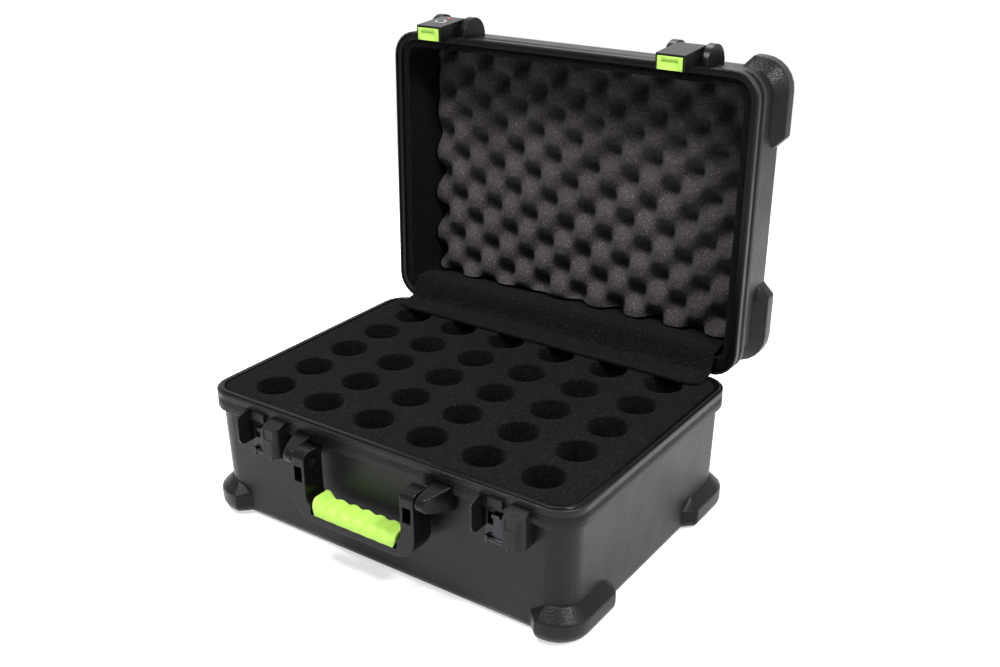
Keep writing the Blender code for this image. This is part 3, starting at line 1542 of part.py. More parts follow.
clear_of_barrel = HINGE_RADIUS + HINGE_GAP * 2
for hand, centre in (("left", -HINGE_X), ("right", HINGE_X)):
    base_leaf = hinge_leaf(
        "hinge_base_leaf_" + hand,
        centre,
        0,
        HINGE_Z - clear_of_barrel - HINGE_LEAF_HEIGHT,
        HINGE_Z - clear_of_barrel,
    )
    # The open lid's leaf comes to rest on this ledge.
    open_leaf_low = HINGE_Z - (LEAF_FAR_Y - HINGE_Y) - SEAT_GAP
    stop = block(
        "hinge_stop_" + hand,
        (
            centre - HINGE_LENGTH / 2,
            LEAF_FAR_Y - HINGE_LEAF / 2,
            HINGE_Z - clear_of_barrel - HINGE_LEAF_HEIGHT,
        ),
        (
            centre + HINGE_LENGTH / 2,
            HINGE_Y + clear_of_barrel + HINGE_STOP_REACH,
            HINGE_Z - clear_of_barrel - HINGE_LEAF_HEIGHT + HINGE_STOP_HEIGHT,
        ),
    )
    post = block(
        "hinge_stop_post_" + hand,
        (
            centre - HINGE_LENGTH / 2,
            HINGE_Y + clear_of_barrel + SEAT_GAP,
            HINGE_Z - clear_of_barrel - HINGE_LEAF_HEIGHT,
        ),
        (
            centre + HINGE_LENGTH / 2,
            HINGE_Y + clear_of_barrel + HINGE_STOP_REACH,
            open_leaf_low - HINGE_STOP_REACH * math.sin(math.radians(LID_OPEN_DEGREES - 90)) - HINGE_GAP,
        ),
    )
    join(base_leaf, stop, post)
    lid_leaf = hinge_leaf(
        "hinge_lid_leaf_" + hand,
        centre,
        1,
        HINGE_Z + clear_of_barrel,
        HINGE_Z + clear_of_barrel + HINGE_LEAF_HEIGHT,
    )
    carry(lid_leaf, lid_pivot)
    smooth(
        rod(
            "hinge_pin_" + hand,
            HINGE_PIN_RADIUS,
            (centre - HINGE_LENGTH / 2, HINGE_Y, HINGE_Z),
            (centre + HINGE_LENGTH / 2, HINGE_Y, HINGE_Z),
            PARTS,
            "steel",
            12,
        )
    )

lid_pivot.rotation_euler.x = -math.radians(LID_OPEN_DEGREES)
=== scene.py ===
"""Finishes, fine forms and studio for a hard case with thirty round sockets in its foam.

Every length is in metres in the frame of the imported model: X along the case's width, -Y to
its front and +Z up, with the origin on the floor under the middle of the base.
"""
import logging
import math
import random
from dataclasses import dataclass, field
from enum import Enum
from typing import Any, Callable
import bmesh
import bpy
from mathutils import Matrix, Vector


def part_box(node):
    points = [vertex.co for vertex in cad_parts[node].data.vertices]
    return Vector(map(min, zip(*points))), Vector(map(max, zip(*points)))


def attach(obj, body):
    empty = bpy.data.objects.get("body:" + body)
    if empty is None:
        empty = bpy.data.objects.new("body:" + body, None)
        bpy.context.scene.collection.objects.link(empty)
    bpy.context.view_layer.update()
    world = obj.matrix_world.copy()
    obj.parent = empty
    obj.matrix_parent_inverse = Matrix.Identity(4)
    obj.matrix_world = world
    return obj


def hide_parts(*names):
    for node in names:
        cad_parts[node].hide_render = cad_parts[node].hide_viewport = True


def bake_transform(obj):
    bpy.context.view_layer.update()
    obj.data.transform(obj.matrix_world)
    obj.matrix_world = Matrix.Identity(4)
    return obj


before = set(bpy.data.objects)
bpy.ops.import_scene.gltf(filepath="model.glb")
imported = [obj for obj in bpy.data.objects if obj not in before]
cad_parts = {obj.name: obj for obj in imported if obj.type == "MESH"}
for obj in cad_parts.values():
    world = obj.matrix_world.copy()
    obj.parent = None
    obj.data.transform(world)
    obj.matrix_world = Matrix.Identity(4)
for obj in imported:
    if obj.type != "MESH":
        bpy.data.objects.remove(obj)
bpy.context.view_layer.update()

LOG = logging.getLogger("microphone_case")
OPEN_ANGLE = math.radians(-91.0)
HINGE_AXIS = Vector((0.0, 0.1635, 0.1414))
# Edges that turn by more degrees than this stay crisp on the fittings.
CRISP_DEGREES = 38
# Points closer than this are one point: on a solid's mesh, and where two foam cells meet.
WELD = 0.000002
SEAM_WELD = 0.000005
# Faces that turn by fewer degrees than this are one face.
FLAT_DEGREES = 0.4
# How strongly large faces lead the shading, out of 100.
FACE_WEIGHT = 80

# The size of the patches in which every finish drifts, and the noise levels that bound them.
MOTTLE_SIZE = 0.035
MOTTLE_RANGE = (0.3, 0.7)
# Each foam cell has a random level, and between these two its walls take more and more of a painted
# glint colour.
GLINT_RANGE = (0.74, 0.94)
# A die's lines are drawn 25 times as long along the rod as they are wide.
DRAWN_SCALE = (0.04, 1.0, 1.0)
# The cosines between the true and the rounded normal at which the lightened edge colour starts and is
# full. That colour is partly rubbing and partly a painted highlight.
WEAR_AND_HIGHLIGHT_RANGE = (0.985, 0.93)
# How many rays feel for the rounding of an edge.
EDGE_SAMPLES = 6
# The roughness of the fibre sheen and of a clear coat, and how deep light passes under a skin.
SHEEN_ROUGHNESS = 0.4
COAT_ROUGHNESS = 0.25
SCATTER_DEPTH = 0.0015
# The floor paper's fibres, per metre, and their height.
FIBRE_SCALE = 900.0
FIBRE_HEIGHT = 0.00004


# ---- Colour and nodes ----
def linear(hex_colour: str) -> tuple[float, float, float, float]:
    """Turn an sRGB hex colour into linear red, green, blue and alpha.

    Args:
        hex_colour: Six hex digits after a hash sign.

    Returns:
        The linear colour, opaque.
    """
    channels = []
    for start in (1, 3, 5):
        value = int(hex_colour[start : start + 2], 16) / 255.0
        channels.append(value / 12.92 if value <= 0.04045 else ((value + 0.055) / 1.055) ** 2.4)
    return (channels[0], channels[1], channels[2], 1.0)


def add_node(
    tree: bpy.types.NodeTree,
    kind: str,
    settings: dict[str, Any] | None = None,
    inputs: dict[str | int, Any] | None = None,
) -> bpy.types.Node:
    """Add a shader node with its settings and links.

    Args:
        tree: The tree that gets the node.
        kind: The node's type, without its common prefix.
        settings: The node's own properties.
        inputs: A value or an output socket for each input, by name or by number.

    Returns:
        The new node.
    """
    node = tree.nodes.new("ShaderNode" + kind)
    for key, value in (settings or {}).items():
        setattr(node, key, value)
    for key, value in (inputs or {}).items():
        if isinstance(value, bpy.types.NodeSocket):
            tree.links.new(value, node.inputs[key])
        else:
            node.inputs[key].default_value = value
    return node


class Surface(Enum):
    """How a material's surface was made."""

    LEATHER_GRAIN = "moulded in an etched tool"
    SATIN = "moulded in a fine-blasted tool"
    OPEN_CELL = "cut open-cell foam"
    DRAWN = "drawn through a die"
    PLATED = "pressed and plated"


@dataclass(frozen=True)
class Finish:
    """One real material with the way its surface was made.

    Args:
        name: The material's name.
        slot: The record's material slot; not used.
        surface: The pattern that its making leaves.
        shade: The main colour.
        tone: The colour that the pattern varies towards.
        roughness: The middle roughness.
        swing: How far roughness varies to each side.
        ior: The index of refraction.
        metallic: 1 for a metal.
        grain: The pattern's size in metres.
        depth: The pattern's height in metres.
        edge: The radius in metres that light sees on every sharp edge.
        wear_and_highlight: The colour that edges are lightened to, partly for rubbed edges and partly
            as a painted edge highlight.
        wear_and_highlight_share: How strongly the lightened edges show.
        specular: The specular level.
        sheen: The weight of the soft fibre sheen.
        coat: The weight of a clear coat.
        scatter: The share of light that passes under the skin.
        glint: The painted highlight colour that is mixed into the few cell walls taken to lie flat to
            the light, or nothing.
    """

    name: str
    slot: str
    surface: Surface
    shade: str
    tone: str
    roughness: float
    swing: float
    ior: float
    metallic: float
    grain: float
    depth: float
    edge: float = 0.0
    wear_and_highlight: str = "#6a6a6c"
    wear_and_highlight_share: float = 0.0
    specular: float = 0.5
    sheen: float = 0.0
    coat: float = 0.0
    scatter: float = 0.0
    glint: str = ""

    def material(self) -> bpy.types.Material:
        """Build the node material.

        Returns:
            The finished material.
        """
        made = bpy.data.materials.new(self.name)
        made.use_nodes = True
        tree = made.node_tree
        tree.nodes.clear()
        place = add_node(tree, "TexCoord").outputs["Object"]
        height, tint, flash = self.pattern(tree, place)
        mottle = add_node(
            tree,
            "TexNoise",
            {"noise_dimensions": "3D"},
            {"Vector": place, "Scale": 1 / MOTTLE_SIZE, "Detail": 3.0},
        )
        drift = add_node(
            tree,
            "Math",
            {"operation": "MULTIPLY_ADD"},
            {0: mottle.outputs["Fac"], 1: 0.5, 2: tint},
        )
        colour = add_node(
            tree,
            "Mix",
            {"data_type": "RGBA"},
            {0: drift.outputs[0], 6: linear(self.shade), 7: linear(self.tone)},
        ).outputs[2]
        # Painted glints: a lighter colour is mixed in where the cell mask is high.
        if self.glint:
            colour = add_node(
                tree, "Mix", {"data_type": "RGBA"}, {0: flash, 6: colour, 7: linear(self.glint)}
            ).outputs[2]
        rough = add_node(
            tree,
            "MapRange",
            {},
            {
                0: mottle.outputs["Fac"],
                1: MOTTLE_RANGE[0],
                2: MOTTLE_RANGE[1],
                3: self.roughness - self.swing,
                4: self.roughness + self.swing,
            },
        ).outputs[0]
        rounded = {}
        if self.edge:
            soft = add_node(tree, "Bevel", {"samples": EDGE_SAMPLES}, {"Radius": self.edge})
            rounded = {"Normal": soft.outputs[0]}
            # Lighter edges: partly rubbing, and partly a painted highlight where light would catch the
            # rounding.
            if self.wear_and_highlight_share:
                colour = self.rubbed_and_highlighted(tree, colour, soft.outputs[0], mottle.outputs["Fac"])
        bump = add_node(
            tree, "Bump", {}, {"Height": height, "Distance": self.depth, "Strength": 1.0, **rounded}
        )
        shader = add_node(
            tree,
            "BsdfPrincipled",
            {},
            {
                "Base Color": colour,
                "Roughness": rough,
                "Metallic": self.metallic,
                "IOR": self.ior,
                "Specular IOR Level": self.specular,
                "Sheen Weight": self.sheen,
                "Sheen Roughness": SHEEN_ROUGHNESS,
                "Coat Weight": self.coat,
                "Coat Roughness": COAT_ROUGHNESS,
                "Subsurface Weight": self.scatter,
                "Subsurface Scale": SCATTER_DEPTH,
                "Normal": bump.outputs[0],
            },
        )
        add_node(tree, "OutputMaterial", {}, {"Surface": shader.outputs[0]})
        return made

    def pattern(
        self, tree: bpy.types.NodeTree, place: bpy.types.NodeSocket
    ) -> tuple[bpy.types.NodeSocket, bpy.types.NodeSocket, bpy.types.NodeSocket | None]:
        """Draw the height and the tint that the making leaves, and the painted glints.

        Args:
            tree: The material's tree.
            place: The object coordinates.

        Returns:
            The height socket, the tint socket and the socket of the painted glints, if there are any.
        """
        fine = add_node(
            tree,
            "TexNoise",
            {"noise_dimensions": "3D"},
            {"Vector": place, "Scale": 1 / self.grain, "Detail": 4.0, "Roughness": 0.6},
        ).outputs["Fac"]
        if self.surface is Surface.LEATHER_GRAIN:
            pebbles = add_node(
                tree,
                "TexVoronoi",
                {"feature": "SMOOTH_F1"},
                {"Vector": place, "Scale": 1 / self.grain, "Smoothness": 0.5},
            ).outputs["Distance"]
            hill = add_node(tree, "Math", {"operation": "SUBTRACT"}, {0: 1.0, 1: pebbles}).outputs[0]
            height = add_node(
                tree, "Math", {"operation": "MULTIPLY_ADD"}, {0: fine, 1: 0.5, 2: hill}
            ).outputs[0]
            tint = add_node(tree, "Math", {"operation": "MULTIPLY"}, {0: pebbles, 1: -0.25}).outputs[0]
            return height, tint, None
        if self.surface is Surface.OPEN_CELL:
            cells = add_node(
                tree, "TexVoronoi", {"feature": "F1"}, {"Vector": place, "Scale": 1 / self.grain}
            )
            # Some cell walls are painted with a lighter glint colour, as if they lay flat to the
            # light.
            glint = add_node(
                tree,
                "MapRange",
                {},
                {0: cells.outputs["Color"], 1: GLINT_RANGE[0], 2: GLINT_RANGE[1], 3: 0.0, 4: 1.0},
            ).outputs[0]
            tint = add_node(tree, "Math", {"operation": "SUBTRACT"}, {0: fine, 1: 0.5}).outputs[0]
            height = add_node(
                tree,
                "Math",
                {"operation": "MULTIPLY_ADD"},
                {0: cells.outputs["Distance"], 1: 1.0, 2: fine},
            ).outputs[0]
            return height, tint, glint
        if self.surface is Surface.DRAWN:
            drawn = add_node(tree, "Mapping", {}, {"Vector": place, "Scale": DRAWN_SCALE})
            lines = add_node(
                tree,
                "TexNoise",
                {"noise_dimensions": "3D"},
                {"Vector": drawn.outputs[0], "Scale": 1 / self.grain, "Detail": 3.0},
            ).outputs["Fac"]
            streaks = add_node(tree, "Math", {"operation": "SUBTRACT"}, {0: lines, 1: 0.5}).outputs[0]
            return lines, streaks, None
        cloud = add_node(tree, "Math", {"operation": "SUBTRACT"}, {0: fine, 1: 0.6}).outputs[0]
        return fine, cloud, None

    def rubbed_and_highlighted(
        self,
        tree: bpy.types.NodeTree,
        colour: bpy.types.NodeSocket,
        soft_normal: bpy.types.NodeSocket,
        mottle: bpy.types.NodeSocket,
    ) -> bpy.types.NodeSocket:
        """Lighten the colour where the edge rounding turns the surface, partly for rubbed edges and
        partly as a painted edge highlight.

        Args:
            tree: The material's tree.
            colour: The colour before its edges are lightened.
            soft_normal: The rounded normal.
            mottle: Noise that breaks the lightened edges up.

        Returns:
            The colour with its edges lightened.
        """
        true_normal = add_node(tree, "NewGeometry").outputs["Normal"]
        agree = add_node(
            tree, "VectorMath", {"operation": "DOT_PRODUCT"}, {0: soft_normal, 1: true_normal}
        ).outputs["Value"]
        rim = add_node(
            tree,
            "MapRange",
            {},
            {0: agree, 1: WEAR_AND_HIGHLIGHT_RANGE[0], 2: WEAR_AND_HIGHLIGHT_RANGE[1], 3: 0.0, 4: self.wear_and_highlight_share},
        ).outputs[0]
        patchy = add_node(tree, "Math", {"operation": "MULTIPLY"}, {0: rim, 1: mottle}).outputs[0]
        return add_node(
            tree, "Mix", {"data_type": "RGBA"}, {0: patchy, 6: colour, 7: linear(self.wear_and_highlight)}
        ).outputs[2]


# Polypropylene copolymer from an etched tool: a soft pebble grain that breaks up the gloss.
# The real pebbles are about 0.8 mm; they are drawn at 1.6 mm so that the frame shows them.
SHELL_PLASTIC = Finish(
    "polypropylene_leather_moulded", "moulded_shell", Surface.LEATHER_GRAIN, "#101013", "#17171b",
    0.34, 0.05, 1.49, 0.0, 0.0016, 0.00024, edge=0.0004, wear_and_highlight_share=0.06, specular=0.17,
)
# Glass-filled nylon from a fine-blasted tool: satin and nearly even, with its edges lightened as a
# painted highlight.
FITTING_NYLON = Finish(
    "glass_filled_nylon_moulded", "moulded_shell", Surface.SATIN, "#09090b", "#0f0f11",
    0.25, 0.05, 1.53, 0.0, 0.0009, 0.00004, edge=0.0009, wear_and_highlight_share=0.22, specular=0.14,
)
# Extruded EPDM rubber: deep black with a low, even shine.
LIP_RUBBER = Finish(
    "epdm_rubber_extruded", "rim_gasket", Surface.SATIN, "#070708", "#0e0e0f",
    0.28, 0.06, 1.52, 0.0, 0.0012, 0.00003, edge=0.0005, specular=0.12,
)
# Open-cell polyether foam, cut: matt charcoal. It is partly its own colour and partly darkened further
# as painted shade for the deck under the microphones and for the lid's side strips. A few cell walls
# have painted glints.
# The real cells are about 0.5 mm; they are drawn at 0.9 mm so that the frame shows them.
SHADE_DARKENED_CUT_FOAM = Finish(
    "polyether_foam_cut_shade_darkened", "foam", Surface.OPEN_CELL, "#0b0b0d", "#131316",
    0.95, 0.03, 1.45, 0.0, 0.0009, 0.00045, specular=0.05, sheen=0.02, glint="#2b2a2c",
)
# Profiled polyether foam, pressed and cut in waves: charcoal, a shade lighter at the open cells, whose
# walls carry painted glints.
# The cells are about 0.5 mm and are drawn at 0.7 mm.
WAVE_FOAM = Finish(
    "polyether_foam_profiled", "foam", Surface.OPEN_CELL, "#383536", "#454142",
    0.95, 0.03, 1.45, 0.0, 0.0007, 0.00030, specular=0.08, sheen=0.05, glint="#77716e",
)
# Thermoplastic elastomer over ABS, moulded: bright lime with a soft satin skin.
LIME_PLASTIC = Finish(
    "lime_elastomer_moulded", "lime_plastic", Surface.SATIN, "#a8d452", "#b4de66",
    0.62, 0.05, 1.50, 0.0, 0.0008, 0.00003, edge=0.0006, scatter=0.08, wear_and_highlight="#c4f07c",
    wear_and_highlight_share=0.15,
)
# Drawn bright steel: fine lines along the rod.
PIN_STEEL = Finish(
    "bright_steel_drawn", "pin_steel", Surface.DRAWN, "#b4b4b6", "#8e8e91",
    0.28, 0.06, 1.5, 1.0, 0.0006, 0.00001, edge=0.0002,
)
# Turned steel with nickel plating: a clean bright ring.
BRIGHT_STEEL = Finish(
    "nickel_steel_plated", "pin_steel", Surface.PLATED, "#e2e0dc", "#cfcdc9",
    0.30, 0.05, 1.5, 1.0, 0.0006, 0.00001, edge=0.0002,
)
# Pressed steel with black zinc plating: dark, with a painted metallic sheen in the lighter colour of
# its edges.
BLACK_STEEL = Finish(
    "black_zinc_steel_pressed", "black_steel", Surface.PLATED, "#2e2e31", "#414145",
    0.36, 0.07, 1.5, 0.9, 0.0007, 0.00002, edge=0.0003, wear_and_highlight="#8c8c90", wear_and_highlight_share=0.25,
)
# Red polycarbonate, polished in the tool: a small clear glossy dot.
RED_PLASTIC = Finish(
    "red_polycarbonate_polished", "red_plastic", Surface.SATIN, "#b01e16", "#c92c20",
    0.18, 0.03, 1.58, 0.0, 0.0009, 0.00001, coat=0.4,
)

FINISHES: tuple[Finish, ...] = (
    SHELL_PLASTIC, FITTING_NYLON, LIP_RUBBER, SHADE_DARKENED_CUT_FOAM, WAVE_FOAM, LIME_PLASTIC, PIN_STEEL,
    BRIGHT_STEEL, BLACK_STEEL, RED_PLASTIC,
)
MATERIALS: dict[str, bpy.types.Material] = {}


# ---- Mesh helpers ----
def link_mesh(name: str, work: bmesh.types.BMesh) -> bpy.types.Object:
    """Put a bmesh, with its faces turned out, into the scene as an object.

    Args:
        name: The new object's name.
        work: The bmesh, which is freed.

    Returns:
        The new object.
    """
    bmesh.ops.recalc_face_normals(work, faces=work.faces)
    if work.calc_volume(signed=True) < 0:
        bmesh.ops.reverse_faces(work, faces=work.faces)
    mesh = bpy.data.meshes.new(name)
    work.to_mesh(mesh)
    work.free()
    piece = bpy.data.objects.new(name, mesh)
    bpy.context.scene.collection.objects.link(piece)
    return piece


def shade(piece: bpy.types.Object, degrees: float = 35.0) -> None:
    """Shade a piece smooth but for edges sharper than an angle."""
    piece.data.shade_smooth()
    piece.data.set_sharp_from_angle(angle=math.radians(degrees))


def settle(piece: bpy.types.Object) -> None:
    """Turn a piece's modifiers into its mesh.

    Args:
        piece: The piece.
    """
    bpy.context.view_layer.update()
    graph = bpy.context.evaluated_depsgraph_get()
    mesh = bpy.data.meshes.new_from_object(piece.evaluated_get(graph))
    piece.modifiers.clear()
    piece.data = mesh


def round_edges(
    piece: bpy.types.Object, width: float, steps: int, degrees: float
) -> bpy.types.BevelModifier:
    """Add a rounding to a piece's edges.

    Args:
        piece: The piece.
        width: The rounding's width.
        steps: Its steps.
        degrees: Edges sharper than this are rounded.

    Returns:
        The rounding, not yet settled.
    """
    rounding = piece.modifiers.new("edge_round", "BEVEL")
    rounding.width = width
    rounding.segments = steps
    rounding.limit_method = "ANGLE"
    rounding.angle_limit = math.radians(degrees)
    return rounding


def dress(
    piece: bpy.types.Object,
    finish: Finish,
    body: str,
    nodes: tuple[str, ...] = (),
) -> bpy.types.Object:
    """Give a piece its finish, its body and the solids that it stands for.

    Args:
        piece: The visible piece.
        finish: The piece's finish.
        body: The body that it rides on, or nothing for a piece that rides on none.
        nodes: The nodes that it replaces.

    Returns:
        The piece.
    """
    piece.data.materials.clear()
    piece.data.materials.append(MATERIALS[finish.name])
    if body:
        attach(piece, body)
    if nodes:
        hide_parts(*nodes)
    faces = len(piece.data.polygons)
    LOG.info("%s on %s, %d faces, %s", piece.name, body or "two bodies", faces, finish.name)
    return piece


def refined(
    node: str, name: str, edge: float, degrees: float = CRISP_DEGREES, steps: int = 2
) -> bpy.types.Object:
    """Make a finer piece of a solid, with its edges rounded and its shading evened.

    Args:
        node: The solid.
        name: The new piece's name.
        edge: The edge radius in metres, or zero.
        degrees: Edges sharper than this are rounded and kept crisp.
        steps: The rounding's steps.

    Returns:
        The new piece.
    """
    work = bmesh.new()
    work.from_mesh(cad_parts[node].data)
    bmesh.ops.remove_doubles(work, verts=work.verts, dist=WELD)
    bmesh.ops.dissolve_limit(
        work,
        angle_limit=math.radians(FLAT_DEGREES),
        verts=work.verts,
        edges=work.edges,
        delimit={"NORMAL"},
    )
    piece = link_mesh(name, work)
    shade(piece, degrees)
    if edge:
        rounding = round_edges(piece, edge, steps, degrees)
        rounding.use_clamp_overlap = True
        rounding.miter_outer = "MITER_ARC"
    evened = piece.modifiers.new("even_shading", "WEIGHTED_NORMAL")
    evened.keep_sharp = True
    evened.weight = FACE_WEIGHT
    settle(piece)
    return piece


def softened(node: str, name: str, cell: float, passes: int) -> bpy.types.Object:
    """Make a piece of a solid with all its edges flowing, as in a soft-edged moulding.

    Args:
        node: The solid.
        name: The new piece's name.
        cell: The fineness of the new mesh in metres.
        passes: How often its points are evened; more passes give rounder edges.

    Returns:
        The new piece.
    """
    work = bmesh.new()
    work.from_mesh(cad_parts[node].data)
    piece = link_mesh(name, work)
    fine = piece.modifiers.new("fine_mesh", "REMESH")
    fine.mode = "VOXEL"
    fine.voxel_size = cell
    flow = piece.modifiers.new("flow", "SMOOTH")
    flow.factor = 0.5
    flow.iterations = passes
    settle(piece)
    shade(piece, 60)
    return piece


def recoat(node: str, finish: Finish) -> None:
    """Give a solid that stays visible its finish.

    Args:
        node: The solid.
        finish: Its finish.
    """
    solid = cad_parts[node]
    solid.data.materials.clear()
    solid.data.materials.append(MATERIALS[finish.name])
    LOG.info("%s keeps its solid, %s", node, finish.name)


def clad(
    node: str,
    name: str,
    finish: Finish,
    body: str,
    edge: float,
    degrees: float = CRISP_DEGREES,
    steps: int = 2,
) -> None:
    """Put a finer, dressed piece in the place of one solid.

    Args:
        node: The solid.
        name: The new piece's name.
        finish: Its finish.
        body: The body that it rides on.
        edge: The edge radius in metres, or zero.
        degrees: Edges sharper than this are rounded and kept crisp.
        steps: The rounding's steps.
    """
    dress(refined(node, name, edge, degrees, steps), finish, body, (node,))


def hinge_turn(angle: float) -> Matrix:
    """Return the turn about the lid's hinge by an angle in radians."""
    there, back = Matrix.Translation(HINGE_AXIS), Matrix.Translation(-HINGE_AXIS)
    return there @ Matrix.Rotation(angle, 4, "X") @ back


def rounded_pull(
    across: float, along: float, half_x: float, half_y: float, radius: float
) -> tuple[float, float]:
    """Pull a point of a rectangle's corner onto the rounded corner.

    Args:
        across: The point's place along X.
        along: The point's place along Y.
        half_x: Half of the rectangle's width.
        half_y: Half of the rectangle's depth.
        radius: The corner radius.

    Returns:
        The pulled point.
    """
    over_x = abs(across) - (half_x - radius)
    over_y = abs(along) - (half_y - radius)
    if over_x <= 0 or over_y <= 0:
        return across, along
    square = max(over_x, over_y)
    reach = math.hypot(over_x, over_y)
    scale = square / reach
    return (
        math.copysign(half_x - radius + over_x * scale, across),
        math.copysign(half_y - radius + over_y * scale, along),
    )


# ---- Shells, lip and seal ----
@dataclass
class Shells:
    """The two moulded shells with the rubber round their rims.

    Args:
        crisp: The angle in degrees above which an edge stays crisp.
        rubber_edge: The edge radius of the rubber.
    """

    crisp: float = 32.0
    rubber_edge: float = 0.0003

    def build(self) -> None:
        """Make and dress the shells, the lip and the seal."""
        for node, body in (("base_shell", "base"), ("lid_shell", "lid")):
            clad(node, node + "_moulding", SHELL_PLASTIC, body, 0.0, self.crisp)
        for node, body in (("rim_lip", "base"), ("lid_seal", "lid")):
            clad(node, node + "_rubber", LIP_RUBBER, body, self.rubber_edge, self.crisp)


# ---- Foams ----
@dataclass
class SocketCell:
    """One round socket with the square of foam round it.

    Args:
        work: The block's mesh.
        centre: The socket's middle.
        border: The points round the square.
        wobble: The heights of the three waves by which the cutter strays.
    """

    work: bmesh.types.BMesh
    centre: Vector
    border: list[Vector]
    wobble: list[float]

    def turns(self) -> list[float]:
        """Return an angle for each point of the border, from the lower left corner on."""
        count = len(self.border)
        return [math.radians(-135) + math.tau * i / count for i in range(count)]

    def wall(self, radius: float, z: float) -> list[bmesh.types.BMVert]:
        """Add a ring to the socket's wall.

        Args:
            radius: The ring's radius.
            z: Its height.

        Returns:
            The ring's points.
        """
        ring = []
        for turn in self.turns():
            oval = radius + self.wobble[0] * math.cos(2 * turn)
            across = math.cos(turn) * (oval + self.wobble[1] * math.sin(3 * turn))
            along = math.sin(turn) * (oval + self.wobble[2] * math.sin(5 * turn))
            ring.append(self.work.verts.new(self.centre + Vector((across, along, z))))
        return ring

    def flat(self, share: float, radius: float, z: float) -> list[bmesh.types.BMVert]:
        """Add a ring to the flat face between the socket's mouth and the square.

        Args:
            share: How far the ring stands from the mouth to the square.
            radius: The mouth's radius.
            z: The face's height.

        Returns:
            The ring's points.
        """
        ring = []
        for turn, edge in zip(self.turns(), self.border):
            mouth = self.centre + Vector((math.cos(turn), math.sin(turn), 0)) * radius
            ring.append(self.work.verts.new(mouth.lerp(edge, share) + Vector((0, 0, z))))
        return ring


